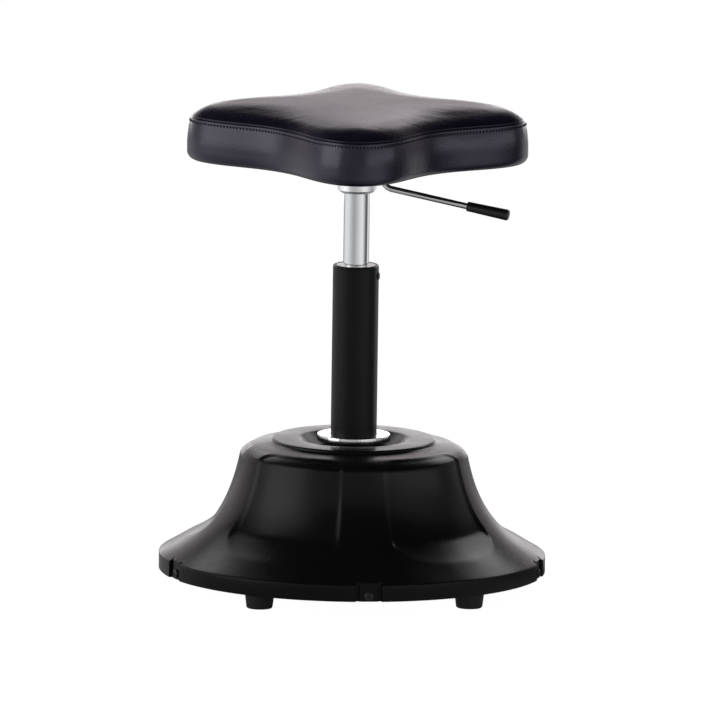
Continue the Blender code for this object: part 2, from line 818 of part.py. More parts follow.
def add_lever():
    droop = radians(GRIP_DROOP)
    path = lever_path()
    mouth = path[-1]
    along = Vector((cos(droop), -sin(droop)))
    path[-1:] = [mouth - along * 2.0, mouth + along * GRIP_ROD_DEPTH]
    rod = add_object("lever_rod", "chrome", *sweep_rod(path, LEVER_ROD_R, 12), 40.0)
    across = move(LEVER_PIVOT, 0.0, LEVER_Z) @ spin(90.0, "X")
    half = LEVER_BOSS_W / 2
    boss = round_cutter("join_boss", LEVER_BOSS_R, -half, half, across, 20)
    eye = round_cutter("cut_eye", LEVER_PIN_R + GAP, -half - 3.0, half + 3.0, across, 12)
    joined = rod.modifiers.new("boss", "BOOLEAN")
    joined.operation = "UNION"
    joined.solver = "EXACT"
    joined.object = boss
    cut_by(rod, eye)
    bore = LEVER_ROD_R + GAP
    grip = revolve(
        "lever_grip",
        "grip_plastic",
        [
            (bore, 0.0),
            (GRIP_START_R, 0.0),
            (GRIP_START_R + 0.3, 1.0),
            (GRIP_END_R, GRIP_LEN - 2.6),
            (GRIP_END_R * 0.95, GRIP_LEN - 1.0),
            (GRIP_END_R * 0.80, GRIP_LEN - 0.2),
            (0.0, GRIP_LEN),
            (0.0, GRIP_ROD_DEPTH + GAP),
            (bore, GRIP_ROD_DEPTH + GAP),
        ],
        16,
        turn=50.0,
    )
    place(grip, move(mouth.x, 0.0, mouth.y) @ spin(90.0 + GRIP_DROOP, "Y"))
    pin_half = sqrt(HUB_R ** 2 - LEVER_PIVOT ** 2) - 2 * GAP
    pin = add_object("lever_pin", "steel", *rod_shape(LEVER_PIN_R, -pin_half, pin_half, 12))
    place(pin, across)
    turn = facing(90.0 - LEVER_TURN)
    pivot = turn @ Vector((LEVER_PIVOT, 0.0, LEVER_Z))
    for obj in (boss, eye, grip, pin, rod):
        place(obj, turn)
    for obj in (rod, grip, boss, eye):
        set_origin(obj, *pivot)
    return turn @ across


def add_hub(pin_axis):
    plate_bottom = SEAT_UNDER + GAP + GAP - SEAT_PLATE_T
    hub_top = plate_bottom - GAP
    bore = LIFT_R + GAP
    hub = ring("taper_hub", "black_steel", bore, HUB_R, HUB_BOTTOM + GAP, hub_top, 28)
    reach = HUB_R + 3.0
    pin_hole = round_cutter("cut_pin", LEVER_PIN_R + GAP, -reach, reach, pin_axis, 12)
    cut_by(hub, pin_hole)
    half = LEVER_SLOT_W / 2
    low = LIFT_TOP + 1.0
    high = hub_top - 2.0
    corners = []
    for z in (low, high):
        for q, y in ((LEVER_PIVOT - 2.0, -half), (reach, -half), (reach, half), (LEVER_PIVOT - 2.0, half)):
            corners.append((q, y, z))
    sides = [[3, 2, 1, 0], [4, 5, 6, 7], [0, 1, 5, 4], [1, 2, 6, 5], [2, 3, 7, 6], [3, 0, 4, 7]]
    slot = place(cutter("cut_slot", corners, sides), facing(90.0 - LEVER_TURN))
    cut_by(hub, slot)
    step = COLLAR_R - 0.9
    inner = HUB_R + GAP
    revolve(
        "hub_collar",
        "silver_trim",
        [
            (bore, COLLAR_BOTTOM),
            (bore + 2.6, COLLAR_BOTTOM + 0.4),
            (step - 1.2, COLLAR_BOTTOM + 1.9),
            (step, COLLAR_STEP_Z),
            (COLLAR_R, COLLAR_STEP_Z + 0.3),
            (COLLAR_R, COLLAR_TOP - 0.8),
            (COLLAR_R - 0.8, COLLAR_TOP),
            (inner, COLLAR_TOP),
            (inner, HUB_BOTTOM),
            (bore, HUB_BOTTOM),
        ],
        28,
    )
    return plate_bottom


def plate_outline(half, corner, count=4):
    out = []
    for quarter in range(4):
        for k in range(count + 1):
            a = radians(90.0 * quarter + 90.0 * k / count)
            x = half - corner
            sx = 1 if quarter in (0, 3) else -1
            sy = 1 if quarter in (0, 1) else -1
            out.append((sx * x + corner * cos(a), sy * x + corner * sin(a)))
    return out


def slab(name, look, outline, low, high, turn=30.0):
    return add_object(name, look, *prism_shape(outline, low, high), turn)


def seat_outline(inset=0.0, scale=1.0):
    """Four-lobed plan, drawn in by this much along its own normal, then scaled."""
    mean = SEAT_TIP * (1.0 + SEAT_WAIST + 2 * SEAT_FLANK) / 4
    lobe = SEAT_TIP * (1.0 - SEAT_WAIST) / 2
    fine = SEAT_TIP * (1.0 + SEAT_WAIST - 2 * SEAT_FLANK) / 4
    out = []
    for k in range(SEAT_STEPS):
        a = 2 * pi * k / SEAT_STEPS
        r = mean + lobe * cos(4 * a) + fine * cos(8 * a)
        dr = -4 * lobe * sin(4 * a) - 8 * fine * sin(8 * a)
        along = Vector((dr * cos(a) - r * sin(a), dr * sin(a) + r * cos(a))).normalized()
        x = r * cos(a) - along.y * inset
        y = r * sin(a) + along.x * inset
        out.append((x * scale, y * scale))
    return out


def lobed_solid(name, look, rings, tips=None, turn=40.0):
    """Rings of (inset, scale, height). With two tip heights the run ends in points, without it is a hoop."""
    points = []
    for inset, scale, z in rings:
        points += [(x, y, z) for x, y in seat_outline(inset, scale)]
    faces = []
    count = len(rings)
    for i in range(count - 1 if tips else count):
        low = i * SEAT_STEPS
        high = (i + 1) % count * SEAT_STEPS
        for k in range(SEAT_STEPS):
            n = (k + 1) % SEAT_STEPS
            faces.append([low + k, low + n, high + n, high + k])
    if tips:
        for end, z in zip((0, (count - 1) * SEAT_STEPS), tips):
            points.append((0.0, 0.0, z))
            for k in range(SEAT_STEPS):
                n = (k + 1) % SEAT_STEPS
                faces.append([end + k, end + n, len(points) - 1])
    return add_object(name, look, points, faces, turn)


def crown_at(share):
    """Height of the seat's top over its seam, from the edge (0) to the middle (1)."""
    rise = 1.0 - exp(-CROWN_BEND * share ** CROWN_EASE)
    return SEAT_CROWN * rise / (1.0 - exp(-CROWN_BEND))


def crown_rings(inset, lift):
    """Rings of a skin over the crown, drawn in from the seat's edge and raised by these amounts."""
    rings = []
    for share in (0.09, 0.26, 0.51, 1.0):
        run = CROWN_EDGE * share
        rings.append((inset + run, 1.0, SEAT_SEAM + lift + crown_at(run / CROWN_RUN)))
    edge = CROWN_EDGE / CROWN_RUN
    for scale in (0.72, 0.36):
        share = 1.0 - (1.0 - edge) * scale
        rings.append((inset + CROWN_EDGE, scale, SEAT_SEAM + lift + crown_at(share)))
    return rings


def add_cushion():
    seam = SEAT_SEAM + GAP / 2
    edge = SEAT_SEAM - GAP / 2
    peak = SEAT_SEAM + crown_at(1.0)
    inner_edge = BAND_TUCK + COVER_T
    outer = [(BAND_TUCK, 1.0, seam)] + crown_rings(BAND_TUCK, 0.0)
    inner = [(inner_edge, 1.0, seam)] + crown_rings(inner_edge, -COVER_T)[1:]
    lobed_solid("seat_top_cover", "leatherette", inner[::-1] + outer, (peak - COVER_T, peak))
    mid = (SEAT_UNDER + SEAT_SEAM) / 2
    side = (SEAT_SEAM - SEAT_UNDER) / 2
    rise = SEAT_UNDER + COVER_T
    band = [
        (BAND_WRAP, 1.0, SEAT_UNDER),
        (BAND_EDGE, 1.0, SEAT_UNDER),
        (BAND_EDGE * 0.45, 1.0, SEAT_UNDER + BAND_EDGE * 0.22),
        (BAND_EDGE * 0.12, 1.0, SEAT_UNDER + BAND_EDGE * 0.8),
        (-BAND_BULGE, 1.0, mid - side * 0.35),
        (-BAND_BULGE, 1.0, mid + side * 0.35),
        (BAND_TUCK * 0.25, 1.0, edge - side * 0.3),
        (BAND_TUCK, 1.0, edge),
        (inner_edge, 1.0, edge),
        (COVER_T - BAND_BULGE, 1.0, mid + side * 0.3),
        (COVER_T - BAND_BULGE, 1.0, mid - side * 0.3),
        (BOARD_INSET, 1.0, rise),
        (BAND_WRAP, 1.0, rise),
    ]
    lobed_solid("seat_side_band", "leatherette", band)
    board_low = rise + GAP
    board_top = board_low + BOARD_T
    board = slab("seat_board", "plywood", seat_outline(BOARD_INSET), board_low, board_top)
    cloth = slab("dust_cloth", "cloth", seat_outline(BAND_WRAP + 1.0), rise - CLOTH_T, rise)
    slack = COVER_T + 2 * GAP
    foam = [
        (BOARD_INSET, 1.0, board_top + GAP),
        (slack, 1.0, mid - side * 0.1),
        (slack, 1.0, mid + side * 0.2),
        (BAND_TUCK + slack, 1.0, edge - GAP),
    ]
    foam += crown_rings(BAND_TUCK + slack + GAP, -slack - GAP)[1:]
    lobed_solid("seat_foam", "foam", foam, (board_top + GAP, peak - slack - GAP))
    return board, cloth, board_low, board_top


def add_seat_frame(board, cloth, board_low, board_top, plate_bottom):
    plate_top = plate_bottom + SEAT_PLATE_T
    outline = plate_outline(SEAT_PLATE_HALF, SEAT_PLATE_CORNER)
    plate = slab("seat_plate", "black_steel", outline, plate_bottom, plate_top)
    flange_low = board_top - GAP - TEE_FLANGE_H
    number = 0
    for sx, sy in ((1, 1), (-1, 1), (-1, -1), (1, -1)):
        number += 1
        at = move(sx * SEAT_BOLT_XY, sy * SEAT_BOLT_XY)
        bore = SEAT_BOLT_R + GAP
        above = plate_top + GAP / 2
        bolt_hole = round_cutter(f"cut_bolt_{number}", bore, plate_bottom - 2.0, above, at, 10)
        cut_by(plate, bolt_hole)
        barrel = TEE_BARREL_R + GAP
        barrel_hole = round_cutter(f"cut_tee_{number}", barrel, board_low - 3.0, board_top + 2.0, at, 8)
        cut_by(board, barrel_hole)
        cut_by(cloth, barrel_hole)
        sunk = TEE_FLANGE_R + GAP
        sink = round_cutter(f"cut_sink_{number}", sunk, flange_low - GAP, board_top + 2.0, at, 8)
        cut_by(board, sink)
        bolt_end = flange_low - 2.0
        bolt = revolve(
            f"seat_bolt_{number}",
            "zinc",
            [
                (0.0, plate_bottom - GAP - SEAT_BOLT_HEAD_H),
                (SEAT_BOLT_HEAD_R, plate_bottom - GAP - SEAT_BOLT_HEAD_H),
                (SEAT_BOLT_HEAD_R, plate_bottom - GAP),
                (SEAT_BOLT_R, plate_bottom - GAP),
                (SEAT_BOLT_R, bolt_end),
                (0.0, bolt_end),
            ],
            10,
        )
        place(bolt, at)
        tee = revolve(
            f"tee_nut_{number}",
            "zinc",
            [
                (bore, board_low + GAP),
                (TEE_BARREL_R, board_low + GAP),
                (TEE_BARREL_R, flange_low),
                (TEE_FLANGE_R, flange_low),
                (TEE_FLANGE_R, flange_low + TEE_FLANGE_H),
                (bore, flange_low + TEE_FLANGE_H),
            ],
            8,
        )
        place(tee, at)


tube_base = add_base()
tube_floor = add_column(tube_base)
add_spindle(tube_floor, tube_base)
add_lift()
pin_line = add_lever()
plate_low = add_hub(pin_line)
seat_parts = add_cushion()
add_seat_frame(*seat_parts, plate_low)
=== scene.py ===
from math import cos, exp, pi, radians, sin

import bmesh
import bpy
import numpy as np
from mathutils import Matrix, Vector, kdtree, noise


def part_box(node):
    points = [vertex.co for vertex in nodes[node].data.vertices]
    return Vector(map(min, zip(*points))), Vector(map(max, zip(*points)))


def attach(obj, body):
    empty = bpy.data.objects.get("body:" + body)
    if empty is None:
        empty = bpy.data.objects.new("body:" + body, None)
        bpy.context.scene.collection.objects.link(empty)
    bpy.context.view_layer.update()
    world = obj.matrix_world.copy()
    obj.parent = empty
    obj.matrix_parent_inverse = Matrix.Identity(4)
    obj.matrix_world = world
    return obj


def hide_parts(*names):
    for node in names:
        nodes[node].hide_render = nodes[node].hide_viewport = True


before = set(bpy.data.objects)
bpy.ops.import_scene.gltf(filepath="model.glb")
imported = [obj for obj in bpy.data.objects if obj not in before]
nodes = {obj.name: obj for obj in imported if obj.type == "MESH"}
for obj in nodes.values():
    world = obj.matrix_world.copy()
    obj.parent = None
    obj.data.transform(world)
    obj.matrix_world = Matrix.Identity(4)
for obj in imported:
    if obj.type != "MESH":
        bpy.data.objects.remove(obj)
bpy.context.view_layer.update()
scene = bpy.context.scene
scene.view_settings.view_transform = "Standard"


# Materials

NOISE_SPAN = (0.3, 0.7)
WORN_SPAN = (0.54, 0.66)
WORN_GAIN = 2.2
WORN_LIFT = 0.008
CLOUD_GLOSS = (-0.05, 0.06)
LEAST_ROUGHNESS = 0.02
UP = (1.0, 1.0, 0.02)
ROUND = (0.05, 0.05, 1.0)
EVEN = (1.0, 1.0, 1.0)


def shader_of(name, colour, roughness, metallic=0.0, specular=0.5):
    """A new Principled material: its node tree, its shader and itself."""
    made = bpy.data.materials.new(name)
    made.use_nodes = True
    shader = made.node_tree.nodes["Principled BSDF"]
    shader.inputs["Base Color"].default_value = (*colour, 1.0)
    shader.inputs["Roughness"].default_value = roughness
    shader.inputs["Metallic"].default_value = metallic
    shader.inputs["Specular IOR Level"].default_value = specular
    return made.node_tree, shader, made


def add(tree, kind, **values):
    """A new shader node with these inputs or settings."""
    node = tree.nodes.new(kind)
    for key, value in values.items():
        if key in node.inputs.keys():
            node.inputs[key].default_value = value
        else:
            setattr(node, key, value)
    return node


def feed(tree, sockets, values):
    """Gives each socket its number or its link."""
    for socket, value in zip(sockets, values):
        if isinstance(value, float):
            socket.default_value = value
        else:
            tree.links.new(value, socket)


def at_scale(tree, stretch=EVEN):
    """The piece's own metres, stretched per axis."""
    where = add(tree, "ShaderNodeTexCoord")
    scaled = add(tree, "ShaderNodeMapping", Scale=stretch)
    tree.links.new(where.outputs["Object"], scaled.inputs["Vector"])
    return scaled.outputs["Vector"]


def noise_at(tree, vector, scale, detail=3.0, rough=0.5):
    """Cloudy noise, mostly within the usual span."""
    made = add(tree, "ShaderNodeTexNoise", Scale=scale, Detail=detail, Roughness=rough)
    tree.links.new(vector, made.inputs["Vector"])
    return made.outputs["Fac"]


def ranged(tree, value, start, end, low, high, easing="LINEAR"):
    """Maps a value between start and end onto low to high."""
    made = add(tree, "ShaderNodeMapRange", interpolation_type=easing)
    for key, amount in zip(("From Min", "From Max", "To Min", "To Max"), (start, end, low, high)):
        made.inputs[key].default_value = amount
    tree.links.new(value, made.inputs["Value"])
    return made.outputs["Result"]


def eased_range(tree, value, start, end, low, high):
    """Maps a value onto a range with soft ends."""
    return ranged(tree, value, start, end, low, high, "SMOOTHSTEP")


def spread(tree, value, low, high, span=NOISE_SPAN):
    """Spreads a noise's usual span over a range."""
    return ranged(tree, value, *span, low, high)


def combined(tree, operation, *values):
    """One or two numbers or links, joined by an arithmetic operation."""
    made = add(tree, "ShaderNodeMath", operation=operation)
    feed(tree, made.inputs, values)
    return made.outputs[0]


def mixed(tree, share, one, other):
    """A number that goes from one to the other as the share goes from 0 to 1."""
    made = add(tree, "ShaderNodeMix")
    feed(tree, (made.inputs[0], made.inputs[2], made.inputs[3]), (share, one, other))
    return made.outputs[0]


def two_tone(tree, share, dark, light):
    """A colour that goes from dark to light as the share goes from 0 to 1."""
    made = add(tree, "ShaderNodeMix", data_type="RGBA")
    made.inputs[6].default_value = (*dark, 1.0)
    made.inputs[7].default_value = (*light, 1.0)
    tree.links.new(share, made.inputs[0])
    return made.outputs[2]


def bump(tree, shader, heights):
    """Chains bumps of (height, strength, distance) into the shader's normal."""
    before = None
    for height, strength, distance in heights:
        made = add(tree, "ShaderNodeBump", Strength=strength, Distance=distance)
        tree.links.new(height, made.inputs["Height"])
        if before:
            tree.links.new(before, made.inputs["Normal"])
        before = made.outputs["Normal"]
    tree.links.new(before, shader.inputs["Normal"])


def leatherette(name):
    """Grained cover with a bluish sheen, soft drapes and fine creases."""
    tree, shader, made = shader_of(name, (0.008, 0.007, 0.014), roughness=0.32, specular=0.56)
    shader.inputs["Specular Tint"].default_value = (0.86, 0.83, 1.0, 1.0)
    plain = at_scale(tree)
    cells = add(tree, "ShaderNodeTexVoronoi", feature="SMOOTH_F1", Scale=720.0)
    tree.links.new(plain, cells.inputs["Vector"])
    pores = noise_at(tree, plain, scale=1900.0, detail=2.0)
    grain = noise_at(tree, plain, scale=430.0)
    cloud = noise_at(tree, plain, scale=26.0, detail=4.0)
    drape = noise_at(tree, at_scale(tree, (1.0, 6.0, 2.0)), scale=16.0, detail=4.0, rough=0.6)
    creases = noise_at(tree, at_scale(tree, (1.0, 7.0, 2.0)), scale=55.0)
    gloss = combined(tree, "ADD", spread(tree, cloud, 0.18, 0.24), spread(tree, grain, -0.02, 0.06))
    tree.links.new(gloss, shader.inputs["Roughness"])
    tone = two_tone(tree, spread(tree, cloud, 0.0, 1.0), (0.006, 0.005, 0.016), (0.010, 0.009, 0.024))
    tree.links.new(tone, shader.inputs["Base Color"])
    bump(tree, shader, [
        (drape, 0.10, 0.0030),
        (creases, 0.08, 0.0008),
        (cells.outputs["Distance"], 0.25, 0.00025),
        (pores, 0.12, 0.00010),
    ])
    return made


def moulded(name, colour, roughness, grain=1500.0, specular=0.5, wear=0.35):
    """Moulded plastic or painted steel: fine texture, cloudy gloss and paler worn edges."""
    tree, shader, made = shader_of(name, colour, roughness, specular=specular)
    plain = at_scale(tree)
    fine = noise_at(tree, plain, grain, detail=2.0)
    cloud = noise_at(tree, plain, scale=22.0, detail=4.0)
    low, high = (roughness + change for change in CLOUD_GLOSS)
    tree.links.new(spread(tree, cloud, low, high), shader.inputs["Roughness"])
    edge = add(tree, "ShaderNodeNewGeometry")
    worn = spread(tree, edge.outputs["Pointiness"], 0.0, wear, WORN_SPAN)
    lighter = tuple(c * WORN_GAIN + WORN_LIFT for c in colour)
    tree.links.new(two_tone(tree, worn, colour, lighter), shader.inputs["Base Color"])
    bump(tree, shader, [(fine, 0.10, 0.00012), (cloud, 0.04, 0.0008)])
    return made


def metal(name, colour, roughness, marked=EVEN, scale=900.0, amount=0.05, spots=0.0, waves=0.0):
    """Bare or plated metal with polishing or turning marks along one way."""
    tree, shader, made = shader_of(name, colour, roughness, metallic=1.0)
    marks = noise_at(tree, at_scale(tree, marked), scale)
    cloud = noise_at(tree, at_scale(tree), scale=30.0, detail=4.0)
    low = max(LEAST_ROUGHNESS, roughness - amount)
    tree.links.new(spread(tree, marks, low, roughness + amount), shader.inputs["Roughness"])
    dull = tuple(c * (1.0 - spots) for c in colour)
    tree.links.new(two_tone(tree, spread(tree, cloud, 0.0, 1.0), colour, dull), shader.inputs["Base Color"])
    wave = noise_at(tree, at_scale(tree, (1.0, 1.0, 0.05)), scale=130.0, detail=2.0)
    bump(tree, shader, [(wave, waves, 0.0020), (marks, 0.03, 0.00010)])
    return made


def rubber(name):
    """Matt rubber with dust in its grit."""
    tree, shader, made = shader_of(name, (0.012, 0.012, 0.012), roughness=0.72, specular=0.4)
    plain = at_scale(tree)
    grit = noise_at(tree, plain, scale=900.0)
    dust = noise_at(tree, plain, scale=60.0, detail=4.0)
    dusty = spread(tree, dust, 0.0, 1.0, span=(0.45, 0.8))
    tone = two_tone(tree, dusty, (0.010, 0.010, 0.010), (0.030, 0.029, 0.028))
    tree.links.new(tone, shader.inputs["Base Color"])
    tree.links.new(spread(tree, dust, 0.62, 0.82), shader.inputs["Roughness"])
    bump(tree, shader, [(grit, 0.20, 0.0002)])
    return made


def plywood(name):
    """Birch plywood: grain along one way, plies at its edge."""
    tree, shader, made = shader_of(name, (0.50, 0.34, 0.19), roughness=0.6)
    grain = noise_at(tree, at_scale(tree, (3.0, 40.0, 3.0)), scale=10.0, detail=5.0)
    plies = add(tree, "ShaderNodeTexWave", bands_direction="Z", Scale=150.0, Distortion=0.4)
    tree.links.new(at_scale(tree), plies.inputs["Vector"])
    tone = two_tone(tree, spread(tree, grain, 0.0, 1.0), (0.42, 0.27, 0.14), (0.60, 0.44, 0.26))
    tree.links.new(tone, shader.inputs["Base Color"])
    bump(tree, shader, [(grain, 0.2, 0.0004), (plies.outputs["Fac"], 0.2, 0.0003)])
    return made


def felt(name):
    """Non-woven cloth with a pattern of small pressed dots."""
    tree, shader, made = shader_of(name, (0.022, 0.022, 0.023), roughness=0.95, specular=0.2)
    plain = at_scale(tree)
    dots = add(tree, "ShaderNodeTexVoronoi", Scale=520.0, Randomness=0.12)
    tree.links.new(plain, dots.inputs["Vector"])
    fuzz = noise_at(tree, plain, scale=700.0, detail=4.0)
    tone = two_tone(tree, spread(tree, fuzz, 0.0, 1.0), (0.014, 0.014, 0.015), (0.034, 0.034, 0.035))
    tree.links.new(tone, shader.inputs["Base Color"])
    bump(tree, shader, [(dots.outputs["Distance"], 0.5, 0.0004), (fuzz, 0.3, 0.0003)])
    return made


LOOKS = {
    "shell": moulded("shell_plastic_look", (0.0060, 0.0060, 0.0061), 0.27, grain=1300.0, specular=0.18),
    "column": moulded("column_paint_look", (0.0050, 0.0050, 0.0051), 0.34, grain=2200.0, specular=0.17),
    "black_steel": moulded("black_steel_look", (0.012, 0.012, 0.012), 0.42, grain=1800.0),
    "grip": moulded("grip_plastic_look", (0.006, 0.006, 0.0062), 0.40, grain=1100.0),
    "nylon": moulded("nylon_look", (0.90, 0.90, 0.88), 0.17, grain=1600.0, specular=0.9, wear=0.0),
    "silver": metal("silver_trim_look", (0.93, 0.94, 0.96), 0.36, ROUND, 1200.0, amount=0.04, spots=0.04),
    "chrome": metal("chrome_look", (0.80, 0.81, 0.84), 0.10, UP, 1200.0, amount=0.03, spots=0.04),
    "flange": metal("flange_look", (0.80, 0.81, 0.83), 0.15, ROUND, 1500.0, spots=0.10, waves=0.60),
    "lever": metal("lever_look", (0.78, 0.79, 0.81), 0.09, EVEN, 1500.0, amount=0.03, spots=0.04),
    "zinc": metal("zinc_look", (0.58, 0.59, 0.62), 0.34, EVEN, 700.0, amount=0.08, spots=0.18),
    "steel": metal("steel_look", (0.46, 0.46, 0.48), 0.28, UP, 900.0, amount=0.07, spots=0.10),
    "brass": metal("brass_look", (0.66, 0.48, 0.20), 0.30, ROUND, 900.0, amount=0.07, spots=0.15),
    "iron": moulded("iron_look", (0.045, 0.044, 0.043), 0.68, grain=420.0, specular=0.4),
    "rubber": rubber("rubber_look"),
    "plywood": plywood("plywood_look"),
    "felt": felt("dust_cloth_look"),
    "leather": leatherette("leatherette_look"),
    "thread": moulded("thread_look", (0.0018, 0.0018, 0.0022), 0.85, grain=3000.0, specular=0.08, wear=0.0),
}
BY_NODE = {
    "base_cover": "shell",
    "outer_tube": "column",
    "lever_grip": "grip",
    "guide_bush": "nylon",
    "hub_collar": "silver",
    "pressure_tube": "chrome",
    "column_flange": "flange",
    "lever_rod": "lever",
    "ballast_ring": "iron",
    "seat_board": "plywood",
}
BY_START = {
    "foot_bolt": "zinc",
    "seat_bolt": "zinc",
    "tee_nut": "zinc",
    "foot_": "rubber",
    "bumper": "rubber",
    "rod_seal": "rubber",
    "thrust_cage": "brass",
    "piston_rod": "steel",
    "piston": "brass",
    "rod_guide": "brass",
    "thrust_race": "steel",
    "rod_clip": "steel",
    "release_button": "steel",
    "lever_pin": "steel",
}


def look_of(name):
    """A node's look, by its name or its name's start; the rest is black steel."""
    if name in BY_NODE:
        return LOOKS[BY_NODE[name]]
    for start, look in BY_START.items():
        if name.startswith(start):
            return LOOKS[look]
    return LOOKS["black_steel"]


# Solids, shaded smooth up to the angle in degrees at which their edges stay sharp

SHARP = {"base_cover": 22.0, "lever_rod": 50.0, "lever_grip": 50.0}
SHARP_USUAL = 32.0
WELDS_PER_M = 1e5
TINY = 1e-20


def smooth(obj, degrees):
    """Shades a faceted solid smooth, except over edges sharper than this. No point moves."""
    mesh = obj.data
    co = np.empty(len(mesh.vertices) * 3)
    mesh.vertices.foreach_get("co", co)
    co = co.reshape(-1, 3)
    corner = np.empty(len(mesh.loops), np.int64)
    mesh.loops.foreach_get("vertex_index", corner)
    _, welded = np.unique(np.round(co * WELDS_PER_M).astype(np.int64), axis=0, return_inverse=True)
    welded = welded.reshape(-1)[corner].reshape(-1, 3)
    p = co[corner].reshape(-1, 3, 3)
    normal = np.cross(p[:, 1] - p[:, 0], p[:, 2] - p[:, 0])
    normal /= np.maximum(np.linalg.norm(normal, axis=1, keepdims=True), TINY)
    around = {}
    for f in range(len(p)):
        for c in range(3):
            a = p[f, (c + 1) % 3] - p[f, c]
            b = p[f, (c + 2) % 3] - p[f, c]
            share = np.dot(a, b) / max(np.linalg.norm(a) * np.linalg.norm(b), TINY)
            around.setdefault(welded[f, c], []).append((f, np.arccos(np.clip(share, -1.0, 1.0))))
    least = cos(radians(degrees))
    out = np.empty((len(p), 3, 3))
    for f in range(len(p)):
        for c in range(3):
            near = around[welded[f, c]]
            faces = [g for g, _ in near]
            weight = np.array([w for _, w in near])
            weight = weight * (normal[faces] @ normal[f] >= least)
            total = weight @ normal[faces]
            out[f, c] = total / max(np.linalg.norm(total), TINY)
    mesh.shade_smooth()
    mesh.normals_split_custom_set(out.reshape(-1, 3).tolist())


for name, obj in nodes.items():
    obj.data.materials.clear()
    obj.data.materials.append(look_of(name))
    smooth(obj, SHARP.get(name, SHARP_USUAL))


# Surfaces made of rows of points

SHARP_MADE = 40.0
TURNED_STEPS = 160
CORNER_ROWS = 4
CORNER_REACH = 0.45


def quads(rows, around, closed):
    """Faces between rows of points that run round. When closed, the last row joins the first."""
    faces = []
    for i in range(rows if closed else rows - 1):
        j = (i + 1) % rows
        for k in range(around):
            n = (k + 1) % around
            faces.append((i * around + k, i * around + n, j * around + n, j * around + k))
    return faces


def add_mesh(name, points, faces, sharp=None):
    """A new object with its faces outwards, smooth except over edges sharper than this angle."""
    mesh = bpy.data.meshes.new(name)
    mesh.from_pydata([tuple(p) for p in points], [], faces)
    work = bmesh.new()
    work.from_mesh(mesh)
    bmesh.ops.recalc_face_normals(work, faces=work.faces)
    work.to_mesh(mesh)
    work.free()
    mesh.shade_smooth()
    if sharp:
        mesh.set_sharp_from_angle(angle=radians(sharp))
    made = bpy.data.objects.new(name, mesh)
    scene.collection.objects.link(made)
    return made


def add_ringed(name, points, steps, tips):
    """Joins rings of points; each tip is None for an open end, or the height of a closing middle point."""
    points = list(points)
    rings = len(points) // steps
    faces = quads(rings, steps, closed=False)
    for end, tip in zip((0, (rings - 1) * steps), tips):
        if tip is None:
            continue
        points.append((0.0, 0.0, tip))
        for k in range(steps):
            faces.append((end + k, end + (k + 1) % steps, len(points) - 1))
    return add_mesh(name, points, faces)


def add_turned(name, profile):
    """A closed (radius, height) outline turned round the axis."""
    points = []
    for k in range(TURNED_STEPS):
        a = 2 * pi * k / TURNED_STEPS
        points += [(r * cos(a), r * sin(a), z) for r, z in profile]
    return add_mesh(name, points, quads(TURNED_STEPS, len(profile), closed=True), SHARP_MADE)


def bezier(points, count):
    """A curve from the first of these points to the last, drawn by those between."""
    t = np.linspace(0.0, 1.0, count)[:, None]
    points = [np.array(p, float) + 0.0 * t for p in points]
    while len(points) > 1:
        points = [a * (1 - t) + b * t for a, b in zip(points, points[1:])]
    return points[0]


def eased(points, radius, count=CORNER_ROWS):
    """A line of (radius, height) points with its corners rounded."""
    points = [np.array(p, float) for p in points]
    out = [points[0][None]]
    for before, at, after in zip(points, points[1:], points[2:]):
        back = before - at
        ahead = after - at
        reach = min(radius, np.linalg.norm(back) * CORNER_REACH, np.linalg.norm(ahead) * CORNER_REACH)
        start = at + back / np.linalg.norm(back) * reach
        end = at + ahead / np.linalg.norm(ahead) * reach
        out.append(bezier([start, at, end], count))
    out.append(points[-1][None])
    return np.concatenate(out)


# Cushion: plan and section in metres, as in the solids

SEAT_TIP = 0.1846
SEAT_FLANK = 0.8104
SEAT_WAIST = 0.6912
SEAT_STEPS = 320
SEAT_UNDER = 0.4632
SEAT_SEAM = 0.5115
SEAT_CROWN = 0.0192
CROWN_RUN = 0.140
CROWN_BEND = 6.0
CROWN_EASE = 0.96
CROWN_EDGE = 0.022
CROWN_EDGE_SHARES = (0.06, 0.10, 0.15, 0.21, 0.28, 0.36, 0.45, 0.56, 0.68, 0.82, 1.0)
CROWN_SCALES = (0.95, 0.90, 0.85, 0.79, 0.73, 0.66, 0.58, 0.50, 0.42, 0.34, 0.26, 0.18, 0.10, 0.05)

# Its side band, wrapped under the board
BAND_EDGE = 0.011
BAND_EDGE_POWER = 2.2
BAND_EDGE_ROWS = 12
BAND_SIDE_ROWS = 14
BAND_TUCK = 0.0032
BAND_TUCK_FROM = 0.42
BAND_TUCK_POWER = 1.8
BAND_BULGE = 0.0006
BAND_WRAP = 0.018
WRAP_FLAT = 0.003
WRAP_LIP = 0.0006
WRAP_LIP_UP = 0.0008
BOARD_EDGE = 0.0099
BOARD_LOW = SEAT_UNDER + 0.0016
BOARD_HIGH = SEAT_UNDER + 0.0142

# Its seam, and the stitch line and welt below it; the seam's section is (depth, share of the lip's height)
STITCH_DROP = 0.0048
STITCH_PITCH = 0.0041
STITCH_Z = SEAT_SEAM - STITCH_DROP
STITCH_SUNK = 0.00020
STITCH_SPREAD = 0.0009
STITCH_CLEAR = 0.0025
STITCH_FINE = 0.0006
WELT_Z = SEAT_SEAM - STITCH_DROP * 0.45
WELT_OUT = 0.0004
WELT_SPREAD = 0.0013
SEAM_LIP = 0.0012
SEAM_SUNK = 0.0016
SEAM_NEAR = (1.5, 0.9)
SEAM_SECTION = [
    (0.0004, -0.60),
    (0.0009, -0.25),
    (SEAM_SUNK, 0.0),
    (SEAM_SUNK * 0.85, 0.25),
    (0.0007, 0.65),
]

